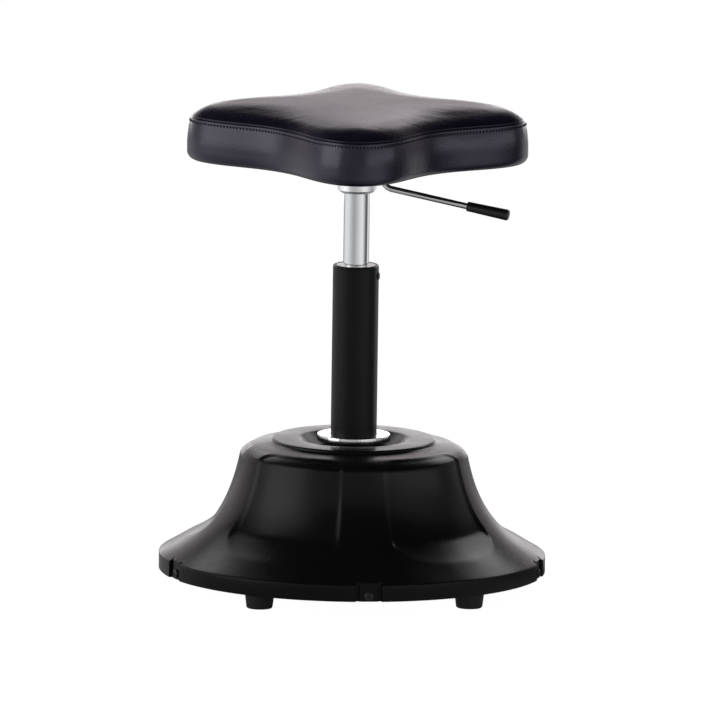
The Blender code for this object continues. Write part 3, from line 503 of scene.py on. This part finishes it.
# Its threads: shape is (share of half a stitch, share of the thread's radius)
THREAD_R = 0.0010
THREAD_FLAT = 0.6
THREAD_SIDES = 6
THREAD_HALF = STITCH_PITCH * 0.23
THREAD_PROUD = 0.0003
THREAD_DIP = 0.0004
THREAD_SHAPE = [(-1.0, 0.15), (-0.82, 0.75), (-0.35, 1.0), (0.35, 1.0), (0.82, 0.75), (1.0, 0.15)]

# Its swelling, worked out on a plainer form as cloth under pressure
SWELL_CAP = 0.0025
SWELL_STEPS = 96
SWELL_BAND = (0.02, 0.15, 0.4, 1.0, 2.0, 3.0, 3.8)
SWELL_EDGE_SHARES = (0.2, 0.5, 1.0)
SWELL_SCALES = (0.75, 0.5, 0.25)
SWELL_VOXEL = 0.006
SWELL_PRESSURE = 4.0
SWELL_STIFFNESS = 6.0
SWELL_BENDING = 0.5
SWELL_QUALITY = 6
SWELL_FRAMES = 20
SWELL_FADE = 0.012
SWELL_NEAR = 40
SWELL_BLEND = 0.012
HELD_LOW = SEAT_UNDER + 0.006
HELD_SEAM = 0.004
HELD_SEAM_R = 0.118
HELD_SEAM_WEIGHT = 0.6


def seat_rim(inset, steps=SEAT_STEPS):
    """Four-lobed plan, drawn in along its own normal."""
    mean = SEAT_TIP * (1.0 + SEAT_WAIST + 2 * SEAT_FLANK) / 4
    lobe = SEAT_TIP * (1.0 - SEAT_WAIST) / 2
    fine = SEAT_TIP * (1.0 + SEAT_WAIST - 2 * SEAT_FLANK) / 4
    a = 2 * pi * np.arange(steps) / steps
    r = mean + lobe * np.cos(4 * a) + fine * np.cos(8 * a)
    dr = -4 * lobe * np.sin(4 * a) - 8 * fine * np.sin(8 * a)
    along = np.stack([dr * np.cos(a) - r * np.sin(a), dr * np.sin(a) + r * np.cos(a)], axis=1)
    along /= np.linalg.norm(along, axis=1, keepdims=True)
    x = r * np.cos(a) - along[:, 1] * inset
    y = r * np.sin(a) + along[:, 0] * inset
    return np.stack([x, y], axis=1)


def ring_points(rings, steps=SEAT_STEPS):
    """Points of rings of (inset, scale, height)."""
    out = []
    for inset, scale, z in rings:
        flat = seat_rim(inset, steps) * scale
        out.append(np.column_stack([flat, np.full(steps, z)]))
    return np.concatenate(out)


def crown_at(share):
    """Height of the seat's top over its seam, from the edge (0) to the middle (1)."""
    rise = 1.0 - exp(-CROWN_BEND * share ** CROWN_EASE)
    return SEAT_CROWN * rise / (1.0 - exp(-CROWN_BEND))


def crown_rings(inset, lift, edge_shares, scales):
    """Rings of the seat's top: drawn in along its edge, then scaled towards its middle."""
    rings = []
    for share in edge_shares:
        run = CROWN_EDGE * share
        rings.append((inset + run, 1.0, SEAT_SEAM + lift + crown_at(run / CROWN_RUN)))
    for scale in scales:
        share = 1.0 - (1.0 - CROWN_EDGE / CROWN_RUN) * scale
        rings.append((inset + CROWN_EDGE, scale, SEAT_SEAM + lift + crown_at(share)))
    return rings


def band_inset(z):
    """How far the side lies in from the plan at this height: rounded below, drawn in at the seam."""
    up = (z - SEAT_UNDER) / BAND_EDGE
    left = 1.0 - min(up, 1.0)
    below = BAND_EDGE * (1.0 - (1.0 - left ** BAND_EDGE_POWER) ** (1 / BAND_EDGE_POWER))
    lean = max(0.0, (z - SEAT_UNDER) / (SEAT_SEAM - SEAT_UNDER) - BAND_TUCK_FROM) / (1.0 - BAND_TUCK_FROM)
    bulge = BAND_BULGE * min(up, 1.0) * (1.0 - lean)
    sunk = STITCH_SUNK * exp(-(((z - STITCH_Z) / STITCH_SPREAD) ** 2))
    welt = WELT_OUT * exp(-(((z - WELT_Z) / WELT_SPREAD) ** 2))
    return below + BAND_TUCK * lean ** BAND_TUCK_POWER - bulge + sunk - welt


def band_rings():
    """Rings of the side, close together at its lower edge and its stitches."""
    heights = [SEAT_UNDER + BAND_EDGE * (k / BAND_EDGE_ROWS) ** 2 for k in range(1, BAND_EDGE_ROWS + 1)]
    heights += list(np.linspace(SEAT_UNDER + BAND_EDGE, STITCH_Z - STITCH_CLEAR, BAND_SIDE_ROWS))[1:]
    heights += [STITCH_Z + STITCH_FINE * step for step in range(-3, 4)]
    heights += [SEAT_SEAM - SEAM_LIP * share for share in SEAM_NEAR]
    return [(band_inset(z), 1.0, z) for z in heights]


def evaluated(obj):
    """The object's mesh with its modifiers, and its points."""
    graph = bpy.context.evaluated_depsgraph_get()
    mesh = bpy.data.meshes.new_from_object(obj.evaluated_get(graph))
    return mesh, np.array([v.co for v in mesh.vertices])


def swell():
    """Inflates a plain copy of the cushion as cloth: its points, and how far each of them went."""
    half = SWELL_CAP / 2
    heights = [SEAT_UNDER + BAND_EDGE * share for share in SWELL_BAND] + [SEAT_SEAM]
    rings = [(band_inset(z) + half, 1.0, z) for z in heights]
    rings += crown_rings(BAND_TUCK + half, -half, SWELL_EDGE_SHARES, SWELL_SCALES)
    tips = (rings[0][2], SEAT_SEAM + SEAT_CROWN - half)
    pad = add_ringed("swelling", ring_points(rings, SWELL_STEPS), SWELL_STEPS, tips)
    remesh = pad.modifiers.new("remesh", "REMESH")
    remesh.mode = "VOXEL"
    remesh.voxel_size = SWELL_VOXEL
    even, start = evaluated(pad)
    pad.modifiers.clear()
    pad.data = even
    held = pad.vertex_groups.new(name="held")
    low = [i for i, p in enumerate(start) if p[2] < HELD_LOW]
    held.add(low, 1.0, "REPLACE")
    edge = np.hypot(start[:, 0], start[:, 1]) > HELD_SEAM_R
    seam = np.flatnonzero(edge & (abs(start[:, 2] - SEAT_SEAM) < HELD_SEAM))
    held.add(seam.tolist(), HELD_SEAM_WEIGHT, "REPLACE")
    cloth = pad.modifiers.new("cloth", "CLOTH")
    cloth.settings.vertex_group_mass = "held"
    cloth.settings.use_pressure = True
    cloth.settings.uniform_pressure_force = SWELL_PRESSURE
    cloth.settings.tension_stiffness = SWELL_STIFFNESS
    cloth.settings.compression_stiffness = SWELL_STIFFNESS
    cloth.settings.bending_stiffness = SWELL_BENDING
    cloth.settings.effector_weights.gravity = 0.0
    cloth.settings.quality = SWELL_QUALITY
    cloth.collision_settings.use_collision = False
    for step in range(1, SWELL_FRAMES + 1):
        scene.frame_set(step)
    _, end = evaluated(pad)
    scene.frame_set(1)
    bpy.data.objects.remove(pad, do_unlink=True)
    return start, end - start


def moved_by(points, start, shift, cap):
    """Carries the swelling over to a finer set of points, capped."""
    tree = kdtree.KDTree(len(start))
    for i, p in enumerate(start):
        tree.insert(p, i)
    tree.balance()
    out = np.array(points, float)
    for i, p in enumerate(out):
        near = tree.find_n(p, SWELL_NEAR)
        weight = np.array([1.0 / (d + SWELL_BLEND) ** 2 for _, _, d in near])
        move = weight @ shift[[k for _, k, _ in near]] / weight.sum()
        length = np.linalg.norm(move)
        out[i] = p + move * min(1.0, cap / max(length, TINY))
    return out


UNDERSIDE = [
    (BOARD_EDGE, 1.0, BOARD_HIGH),
    (BOARD_EDGE, 1.0, BOARD_LOW),
    (BAND_WRAP, 1.0, BOARD_LOW),
    (BAND_WRAP + WRAP_LIP, 1.0, SEAT_UNDER + WRAP_LIP_UP),
    (BAND_WRAP, 1.0, SEAT_UNDER),
    (BAND_EDGE + WRAP_FLAT, 1.0, SEAT_UNDER),
]
BAND = band_rings()
STITCH_ROW = len(UNDERSIDE) + min(range(len(BAND)), key=lambda k: abs(BAND[k][2] - STITCH_Z))
SEAM = [(BAND_TUCK + depth, 1.0, SEAT_SEAM + SEAM_LIP * share) for depth, share in SEAM_SECTION]
TOP = crown_rings(BAND_TUCK, 0.0, CROWN_EDGE_SHARES, CROWN_SCALES)

seat_points = ring_points(UNDERSIDE + BAND + SEAM + TOP)
seat_peak = SEAT_SEAM + SEAT_CROWN
swell_start, swell_shift = swell()
swell_shift *= np.clip((swell_start[:, 2:] - SEAT_UNDER) / SWELL_FADE, 0.0, 1.0)
outside = len(UNDERSIDE) * SEAT_STEPS
seat_points[outside:] = moved_by(seat_points[outside:], swell_start, swell_shift, SWELL_CAP)
seat_peak = float(seat_points[-SEAT_STEPS:, 2].mean())

seat_cushion = add_ringed("seat_cushion", seat_points, SEAT_STEPS, (BOARD_HIGH, seat_peak))
seat_cushion.data.materials.append(LOOKS["leather"])
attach(seat_cushion, "seat")
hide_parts("seat_top_cover", "seat_foam", "seat_side_band")


def add_stitches(row):
    """A run of short sunk threads along a closed row of points."""
    loop = np.vstack([row, row[:1]])
    step = np.linalg.norm(np.diff(loop, axis=0), axis=1)
    along = np.concatenate([[0.0], np.cumsum(step)])
    count = int(round(along[-1] / STITCH_PITCH))
    tube = quads(len(THREAD_SHAPE), THREAD_SIDES, closed=False)
    points = []
    faces = []

    def place(s):
        return np.array([np.interp(s, along, loop[:, c]) for c in range(3)])

    for k in range(count):
        s = along[-1] * (k + 0.5) / count
        centre = place(s)
        way = place((s + THREAD_HALF) % along[-1]) - place((s - THREAD_HALF) % along[-1])
        way /= np.linalg.norm(way)
        out = np.cross(way, (0.0, 0.0, 1.0))
        out /= np.linalg.norm(out)
        up = np.cross(out, way)
        first = len(points)
        for t, size in THREAD_SHAPE:
            middle = centre + way * (THREAD_HALF * t) + out * (THREAD_PROUD - THREAD_DIP * t * t)
            for n in range(THREAD_SIDES):
                a = 2 * pi * n / THREAD_SIDES
                points.append(middle + (out * cos(a) * THREAD_FLAT + up * sin(a)) * THREAD_R * size)
        last = len(points) - THREAD_SIDES
        faces += [tuple(first + corner for corner in face) for face in tube]
        faces.append(tuple(range(first, first + THREAD_SIDES))[::-1])
        faces.append(tuple(range(last, last + THREAD_SIDES)))
    return add_mesh("seat_stitching", points, faces)


stitching = add_stitches(seat_points[STITCH_ROW * SEAT_STEPS:(STITCH_ROW + 1) * SEAT_STEPS])
stitching.data.materials.append(LOOKS["thread"])
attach(stitching, "seat")


# Dust cloth under the board

CLOTH_EDGE = BAND_WRAP + 0.0004
CLOTH_Z = SEAT_UNDER + 0.0011
CLOTH_T = 0.0005
CLOTH_SAG = 0.0012
CLOTH_SCALES = np.linspace(0.04, 1.0, 40)
PUCKER_USUAL = 0.75
PUCKER_SWAY = 0.5
PUCKERS_PER_M = 45.0
PUCKER_LAYER = 3.0
PLATE_REACH = 0.098


def add_dust_cloth():
    """Thin cloth stretched under the board, a little slack between the plate and its stapled edge."""
    rim = seat_rim(CLOTH_EDGE)
    reach = np.hypot(rim[:, 0], rim[:, 1])
    points = []
    for scale in CLOTH_SCALES:
        for (x, y), far in zip(rim * scale, reach):
            free = max(0.0, min(1.0, (scale * far - PLATE_REACH) / (far - PLATE_REACH)))
            pucker = noise.noise((x * PUCKERS_PER_M, y * PUCKERS_PER_M, PUCKER_LAYER))
            slack = CLOTH_SAG * sin(pi * free) * (PUCKER_USUAL + PUCKER_SWAY * pucker)
            points.append((x, y, CLOTH_Z - slack))
    made = add_ringed("dust_cloth_sheet", points, SEAT_STEPS, (CLOTH_Z, None))
    skin = made.modifiers.new("thickness", "SOLIDIFY")
    skin.thickness = CLOTH_T
    return made


dust_cloth = add_dust_cloth()
dust_cloth.data.materials.append(LOOKS["felt"])
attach(dust_cloth, "seat")
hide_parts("dust_cloth")
cut = seat_rim(CLOTH_EDGE)


# Bell cover, finer than its solid; angles in degrees from the front

RIBS = 5
RIB_HALF = 180.0 / RIBS
BASE_TURN = 5.2
SHELL_WALL = 0.003

# Its rim and the skirt inside it
RIM_R = 0.2098
RIM_LOW = 0.015
RIM_SIDE_TOP = 0.0325
RIM_SIDE_EASE = 0.004
RIM_EDGE = 0.0008
RIM_ROUND_ROWS = 16
SKIRT_R = 0.202
SKIRT_HIGH = 0.024
SKIRT_GAP = 0.002

# Its flank: its ends as (radius, height), and how far each end leans and pulls the curve
FLARE_TOP = np.array((0.1248, 0.1410))
FLARE_END = np.array((0.2063, 0.0351))
FLARE_TOP_LEAN = 0.2075
FLARE_END_SLOPE = 0.56
FLARE_TOP_PULL = 0.576
FLARE_END_PULL = 0.633
FLARE_POINTS = 300
FLANK_POINTS = 400
FLANK_FINE = 60
FLANK_FINE_SKIP = 3
FLANK_SKIP = 4
LINING_SHARES = (0.86, 0.70, 0.54, 0.36, 0.17, 0.05)
LINING_DROP = 2.6 * SHELL_WALL

# Its shoulder, the raised ring, and the well for the column; the well's lip is (outwards, below the ring)
SHOULDER = np.array((0.0978, 0.1544))
SHOULDER_KNEE = 0.82
SHOULDER_POINTS = 60
RING_R = 0.089
RING_FOOT = 0.1556
RING_TOP = 0.1596
RING_ROUND = 0.0026
RING_ROUND_ROWS = 6
RING_TOP_IN = 0.001
RING_FOOT_OUT = 0.0004
WELL_HOLE_R = 0.0441
WELL_R = 0.0561
WELL_FLOOR = 0.147
WELL_LIP = [(0.0, 0.0024), (0.002, 0.0006), (0.005, 0.0)]

# Its scooped panels, between the ribs
PANEL_HALF = 26.4
PANEL_TOP = 0.011
PANEL_CORNER = 0.018
PANEL_STEP = 0.0014
PANEL_EDGE = 0.0070
PANEL_EDGE_TURNS = (0.6, 2.0)
SCOOP_DEPTH = 0.0056
SCOOP_CREASE = 0.382
SCOOP_END = 0.724
SCOOP_SIDE = 0.427
CREASE_SOFT = 0.014

# Its screw pockets, in the rim at each rib: how far it is set back, by the distance from the rib's middle
POCKET_AWAY = np.array((0.0100, 0.0108, 0.0140, 0.0143))
POCKET_DEPTH = np.array((0.003, 0.005, 0.005, 0.0))

# Its columns of points from a rib's middle to a panel's
POCKET_COLUMNS = 5
RIB_COLUMNS = 9
EDGE_COLUMNS = 14
PANEL_COLUMNS = 26


def flare_line():
    """Shoulder and bell flank of a rib, evenly spaced: lengths, points and outward normals."""
    high = np.array((FLARE_TOP_LEAN, -1.0))
    low = np.array((1.0, -FLARE_END_SLOPE))
    knee = FLARE_TOP - high * (SHOULDER[1] - FLARE_TOP[1]) * SHOULDER_KNEE
    down = (FLARE_TOP[1] - FLARE_END[1]) * FLARE_TOP_PULL
    out = (FLARE_END[0] - FLARE_TOP[0]) * FLARE_END_PULL
    p1 = FLARE_TOP + high / np.linalg.norm(high) * down
    p2 = FLARE_END - low / np.linalg.norm(low) * out
    line = np.concatenate([
        bezier([SHOULDER, knee, FLARE_TOP], SHOULDER_POINTS)[:-1],
        bezier([FLARE_TOP, p1, p2, FLARE_END], FLARE_POINTS),
    ])
    s = np.concatenate([[0.0], np.cumsum(np.linalg.norm(np.diff(line, axis=0), axis=1))])
    even = np.linspace(0.0, s[-1], FLANK_POINTS)
    line = np.stack([np.interp(even, s, line[:, k]) for k in range(2)], axis=1)
    along = np.gradient(line, axis=0)
    along /= np.linalg.norm(along, axis=1, keepdims=True)
    return even, line, np.stack([-along[:, 1], along[:, 0]], axis=1)


def eased_step(share):
    """Goes from 0 to 1 with soft ends."""
    share = np.clip(share, 0.0, 1.0)
    return share * share * (3.0 - 2.0 * share)


def panel_depth(off, s, line):
    """Depth of the scooped panel along the flank, at this angle from its middle."""
    share = min(1.0, abs(off) / PANEL_HALF)
    run = (line[:, 0] - FLARE_TOP[0]) / (FLARE_END[0] - FLARE_TOP[0])
    crease = np.interp(SCOOP_CREASE, run, s)
    end = np.interp(SCOOP_END - (SCOOP_END - SCOOP_SIDE) * share ** 3, run, s)
    scoop = (SCOOP_DEPTH - PANEL_STEP) * (1.0 - share ** 4)
    wall = PANEL_STEP + scoop * np.clip((s - PANEL_TOP) / (crease - PANEL_TOP), 0.0, 1.0) ** 3
    depth = np.minimum(wall, (PANEL_STEP + scoop) * np.clip((end - s) / (end - crease), 0.0, 1.0))
    width = max(3, int(CREASE_SOFT / (s[1] - s[0])))
    soft = np.hanning(width + 2)[1:-1]
    depth = np.convolve(np.pad(depth, width, mode="edge"), soft / soft.sum(), mode="same")[width:-width]
    half = radians(PANEL_HALF) * line[:, 0]
    across = radians(abs(off)) * line[:, 0] - (half - PANEL_CORNER)
    above = PANEL_TOP + PANEL_CORNER - s
    outside = np.hypot(np.maximum(across, 0.0), np.maximum(above, 0.0))
    inside = np.minimum(np.maximum(across, above), 0.0)
    return depth * eased_step((PANEL_CORNER - (outside + inside)) / PANEL_EDGE)


def pocket_depth(turn):
    """How far the rim is set back at this angle from a rib's middle."""
    return float(np.interp(RIM_R * sin(radians(abs(turn))), POCKET_AWAY, POCKET_DEPTH))


def rib_turns():
    """Angles from a rib's middle out to the panels on both its sides, close together at edges."""
    pocket = np.degrees(np.arcsin(POCKET_AWAY / RIM_R))
    edge = RIB_HALF - PANEL_HALF
    before = edge - PANEL_EDGE_TURNS[0]
    past = edge + PANEL_EDGE_TURNS[1]
    half = np.unique(np.concatenate([
        np.linspace(0.0, pocket[0], POCKET_COLUMNS),
        pocket,
        np.linspace(pocket[3], before, RIB_COLUMNS),
        np.linspace(before, past, EDGE_COLUMNS),
        np.linspace(past, RIB_HALF, PANEL_COLUMNS),
    ]).round(5))
    return np.concatenate([-half[:0:-1], half[:-1]])


def add_bell():
    """The cover as one closed skin: the well and ring, the flank with its panels, the rim and the lining."""
    s, line, normal = flare_line()
    last = FLANK_POINTS - 1
    rows = np.unique(np.concatenate([
        np.arange(0, FLANK_FINE, FLANK_FINE_SKIP),
        np.arange(FLANK_FINE, FLANK_POINTS, FLANK_SKIP),
        [last],
    ]))
    head = eased([
        (WELL_HOLE_R, WELL_FLOOR - SHELL_WALL),
        (WELL_HOLE_R, WELL_FLOOR),
        *[(WELL_R + out, RING_TOP - below) for out, below in WELL_LIP],
        (RING_R - RING_TOP_IN, RING_TOP),
        (RING_R + RING_FOOT_OUT, RING_FOOT),
        SHOULDER,
    ], RING_ROUND, RING_ROUND_ROWS)[:-1]
    corner = (RIM_R, FLARE_END[1] - FLARE_END_SLOPE * (RIM_R - FLARE_END[0]))
    rim = np.concatenate([
        bezier([FLARE_END, corner, (RIM_R, RIM_SIDE_TOP)], RIM_ROUND_ROWS)[1:],
        eased([
            (RIM_R, RIM_SIDE_TOP - RIM_SIDE_EASE),
            (RIM_R, RIM_LOW),
            (SKIRT_R, RIM_LOW),
            (SKIRT_R, SKIRT_HIGH),
        ], RIM_EDGE),
    ])
    lined = [int(share * last) for share in LINING_SHARES]
    lining = np.concatenate([
        [(SKIRT_R, FLARE_END[1] - SHELL_WALL - SKIRT_GAP)],
        (line - normal * (SCOOP_DEPTH + SHELL_WALL))[lined],
        [(WELL_R + SHELL_WALL, RING_TOP - LINING_DROP), (WELL_HOLE_R + SHELL_WALL, WELL_FLOOR - SHELL_WALL)],
    ])
    turns = rib_turns()
    points = []
    for rib in range(RIBS):
        for turn in turns:
            depth = panel_depth(RIB_HALF - abs(turn), s, line)
            flank = (line - normal * depth[:, None])[rows]
            outer = np.concatenate([flank, rim])
            outer[:, 0] = np.minimum(outer[:, 0], RIM_R - pocket_depth(turn))
            a = radians(BASE_TURN + 2 * RIB_HALF * rib + turn - 90.0)
            points += [(r * cos(a), r * sin(a), z) for r, z in np.concatenate([head, outer, lining])]
    around = RIBS * len(turns)
    return add_mesh("base_shell", points, quads(around, len(points) // around, closed=True), SHARP_MADE)


base_shell = add_bell()
base_shell.data.materials.append(LOOKS["shell"])
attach(base_shell, "base")
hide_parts("base_cover")


# Column's polished flange, turned with a slight taper

FLANGE_R = 0.0399
FLANGE_LOW = 0.1573
FLANGE_HIGH = 0.1643
FLANGE_TAPER = 0.0003
FLANGE_BORE = 0.0253
FLANGE_EDGE = 0.0007

flange_ring = add_turned("flange_ring", eased([
    (FLANGE_BORE, FLANGE_LOW),
    (FLANGE_R, FLANGE_LOW),
    (FLANGE_R - FLANGE_TAPER, FLANGE_HIGH),
    (FLANGE_BORE, FLANGE_HIGH),
], FLANGE_EDGE))
flange_ring.data.materials.append(LOOKS["flange"])
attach(flange_ring, "base")
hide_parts("column_flange")


# Rolled black rim of the column tube, over the edge of the bush's lip

tube_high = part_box("outer_tube")[1]
bush_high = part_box("guide_bush")[1]
TUBE_R = tube_high[0]
TUBE_RIM_IN = TUBE_R - 0.0034
TUBE_RIM_BEVEL = 0.0012
TUBE_RIM_OVER = 0.0003
TUBE_RIM_BELOW = 0.0008
TUBE_RIM_EDGE = 0.0009

tube_rim = add_turned("tube_rim", eased([
    (TUBE_RIM_IN, bush_high[2] - TUBE_RIM_BELOW),
    (TUBE_R, tube_high[2] - TUBE_RIM_BELOW),
    (TUBE_R, bush_high[2] - TUBE_RIM_BELOW),
    (TUBE_R - TUBE_RIM_BEVEL, bush_high[2] + TUBE_RIM_OVER),
    (TUBE_RIM_IN, bush_high[2] + TUBE_RIM_OVER),
], TUBE_RIM_EDGE))
tube_rim.data.materials.append(LOOKS["column"])
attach(tube_rim, "base")


# Camera and lights; each softbox is (name, place, aim, size, watts)

CAMERA_AWAY = 30.0
CAMERA_UP = 9.4
CAMERA_ROLL = 0.8
CAMERA_CLIP = (1.0, 200.0)
PIXELS_PER_M = 922.0
FRAME_PIXELS = 720.0
AIM_PIXEL = (355.0, 337.2)
AIM = Vector((0.0, 0.0, 0.27))
SOFTBOXES = [
    ("softbox_left", (-3.0, -1.0, 1.3), (0.0, 0.0, 0.25), (2.6, 2.6), 24.0),
    ("softbox_right", (2.85, -1.65, 0.70), (0.0, 0.0, 0.50), (4.4, 0.45), 7.5),
    ("softbox_near_left", (-0.40, 0.50, 0.57), (0.0, 0.0, 0.20), (0.50, 0.22), 0.7),
    ("softbox_near_right", (0.40, 0.50, 0.57), (0.0, 0.0, 0.20), (0.50, 0.22), 1.0),
    ("softbox_back_low", (0.0, 2.0, 0.34), (0.0, 0.0, 0.20), (1.8, 0.5), 3.6),
]


def facing(place, way):
    """The matrix of a camera or light at this place that looks this way."""
    return Matrix.Translation(place) @ way.to_track_quat("-Z", "Y").to_matrix().to_4x4()


def add_camera():
    """A far camera, a little above the seat and slightly rolled, framed in the photo's pixels."""
    lens = bpy.data.cameras.new("camera")
    span = FRAME_PIXELS / PIXELS_PER_M
    lens.lens = lens.sensor_width / 2 / (span / 2 / CAMERA_AWAY)
    lens.shift_x = (FRAME_PIXELS / 2 - AIM_PIXEL[0]) / FRAME_PIXELS
    lens.shift_y = (AIM_PIXEL[1] - FRAME_PIXELS / 2) / FRAME_PIXELS
    lens.clip_start, lens.clip_end = CAMERA_CLIP
    made = bpy.data.objects.new("camera", lens)
    scene.collection.objects.link(made)
    back = Vector((0.0, -cos(radians(CAMERA_UP)), sin(radians(CAMERA_UP))))
    rolled = Matrix.Rotation(radians(CAMERA_ROLL), 4, "Z")
    made.matrix_world = facing(AIM + back * CAMERA_AWAY, -back) @ rolled
    scene.camera = made


def add_softbox(name, place, aim, size, watts):
    """A rectangular light that the camera doesn't see."""
    light = bpy.data.lights.new(name, "AREA")
    light.shape = "RECTANGLE"
    light.size, light.size_y = size
    light.energy = watts
    made = bpy.data.objects.new(name, light)
    made.visible_camera = False
    scene.collection.objects.link(made)
    made.matrix_world = facing(place, Vector(aim) - Vector(place))


add_camera()
for softbox in SOFTBOXES:
    add_softbox(*softbox)


# Floor and room; levels go round the object as (degrees from the front, brightness), left negative

LEVEL_SCALE = 1.2
FLOOR_R = 9.0
FLOOR_SIDES = 96
FLOOR_DROP = 0.0003
FLOOR_SEEN = 0.9
FLOOR_WHITE = 1.10
FLOOR_NEAR = (0.30, 1.10)
FLOOR_SHADE = 0.40
FLOOR_MIRRORED = [
    (-180, 0.28), (-150, 0.40), (-120, 0.90), (-75, 0.85), (-50, 0.62), (-20, 0.46), (0, 0.60), (30, 0.85),
    (58, 0.95), (80, 0.40), (96, 0.12), (110, 0.24), (126, 1.00), (150, 0.50), (180, 0.28),
]
ROOM_LEVELS = [
    (-180, 0.66), (-170, 0.54), (-145, 0.95), (-105, 0.60), (-75, 1.10), (-45, 0.66), (0, 0.46), (30, 0.56),
    (55, 0.60), (80, 0.42), (97, 0.24), (115, 0.34), (145, 0.60), (170, 0.82), (180, 0.66),
]
WALL_TOP = (0.42, 0.60)
BACK_TOP = (0.47, 0.63)
BACK_HALF = (0.15, 0.31)
BACK_LIGHT = 1.9
BACK_LIGHT_RISE = (0.16, 0.58)
BACK_LEAST = 0.001
CEILING = 0.03
REAR_START = (-0.10, 0.30)
REAR_DROP = 0.10
REAR_TINT = (1.06, 0.975, 1.0)
WHITE = (1.0, 1.0, 1.0)


def round_level(tree, vector, levels):
    """Brightness by the direction of a vector round the object, and the vector's parts."""
    parts = add(tree, "ShaderNodeSeparateXYZ")
    tree.links.new(vector, parts.inputs["Vector"])
    ahead = combined(tree, "MULTIPLY", parts.outputs["Y"], -1.0)
    angle = combined(tree, "ARCTAN2", parts.outputs["X"], ahead)
    ramp = add(tree, "ShaderNodeValToRGB")
    ramp.color_ramp.interpolation = "CARDINAL"
    while len(ramp.color_ramp.elements) < len(levels):
        ramp.color_ramp.elements.new(0.5)
    for stop, (degrees, value) in zip(ramp.color_ramp.elements, levels):
        stop.position = degrees / 360 + 0.5
        stop.color = (*[value / LEVEL_SCALE] * 3, 1.0)
    tree.links.new(ranged(tree, angle, -pi, pi, 0.0, 1.0), ramp.inputs["Fac"])
    return combined(tree, "MULTIPLY", ramp.outputs["Color"], LEVEL_SCALE), parts.outputs


def floor_look():
    """Matt white paint, seen white and mirrored at its own levels, with a painted shadow that darkens what
    it mirrors near the object.
    """
    tree, matt, made = shader_of("floor_look", (0.82, 0.82, 0.82), roughness=0.9, specular=0.1)
    path = add(tree, "ShaderNodeLightPath")
    where = add(tree, "ShaderNodeTexCoord")
    mirrored, _ = round_level(tree, where.outputs["Object"], FLOOR_MIRRORED)
    away = add(tree, "ShaderNodeVectorMath", operation="LENGTH")
    tree.links.new(where.outputs["Object"], away.inputs[0])
    # Painted shadow: the level the floor shows in reflections is darker near the object.
    near = eased_range(tree, away.outputs["Value"], *FLOOR_NEAR, FLOOR_SHADE, 1.0)
    mirrored = combined(tree, "MULTIPLY", mirrored, near)
    glow = add(tree, "ShaderNodeEmission")
    level = mixed(tree, path.outputs["Is Glossy Ray"], FLOOR_WHITE, mirrored)
    tree.links.new(level, glow.inputs["Strength"])
    either = combined(tree, "MAXIMUM", path.outputs["Is Camera Ray"], path.outputs["Is Glossy Ray"])
    both = add(tree, "ShaderNodeMixShader")
    shown = combined(tree, "MULTIPLY", either, FLOOR_SEEN)
    feed(tree, both.inputs, (shown, matt.outputs["BSDF"], glow.outputs["Emission"]))
    tree.links.new(both.outputs["Shader"], tree.nodes["Material Output"].inputs["Surface"])
    return made


def add_floor():
    """A wide round floor, just under the feet."""
    mesh = bpy.data.meshes.new("floor")
    work = bmesh.new()
    bmesh.ops.create_circle(work, cap_ends=True, segments=FLOOR_SIDES, radius=FLOOR_R)
    work.to_mesh(mesh)
    work.free()
    mesh.materials.append(floor_look())
    made = bpy.data.objects.new("floor", mesh)
    scene.collection.objects.link(made)
    made.location.z = -FLOOR_DROP
    return made


def add_room():
    """White where the camera sees it; else walls with their levels, a light behind and a dark ceiling."""
    scene.world = bpy.data.worlds.new("studio")
    scene.world.use_nodes = True
    tree = scene.world.node_tree
    sky = tree.nodes["Background"]
    path = add(tree, "ShaderNodeLightPath")
    way = add(tree, "ShaderNodeTexCoord")
    wall, parts = round_level(tree, way.outputs["Generated"], ROOM_LEVELS)
    ahead = combined(tree, "MAXIMUM", parts["Y"], BACK_LEAST)
    aside = combined(tree, "DIVIDE", combined(tree, "ABSOLUTE", parts["X"]), ahead)
    behind = eased_range(tree, aside, *BACK_HALF, 1.0, 0.0)
    raised = eased_range(tree, parts["Z"], *BACK_LIGHT_RISE, 0.0, BACK_LIGHT)
    lift = combined(tree, "ADD", combined(tree, "MULTIPLY", behind, raised), 1.0)
    rear = eased_range(tree, parts["Y"], *REAR_START, 0.0, REAR_DROP)
    low_fade = eased_range(tree, combined(tree, "ADD", parts["Z"], rear), *WALL_TOP, 1.0, CEILING)
    high_fade = eased_range(tree, parts["Z"], *BACK_TOP, 1.0, CEILING)
    gain = combined(tree, "MULTIPLY", combined(tree, "SUBTRACT", high_fade, low_fade), behind)
    fade = combined(tree, "ADD", low_fade, gain)
    room = combined(tree, "MULTIPLY", combined(tree, "MULTIPLY", wall, lift), fade)
    tree.links.new(mixed(tree, path.outputs["Is Camera Ray"], room, 1.0), sky.inputs["Strength"])
    rearward = eased_range(tree, parts["Y"], *REAR_START, 0.0, 1.0)
    tree.links.new(two_tone(tree, rearward, WHITE, REAR_TINT), sky.inputs["Color"])


floor = add_floor()
add_room()
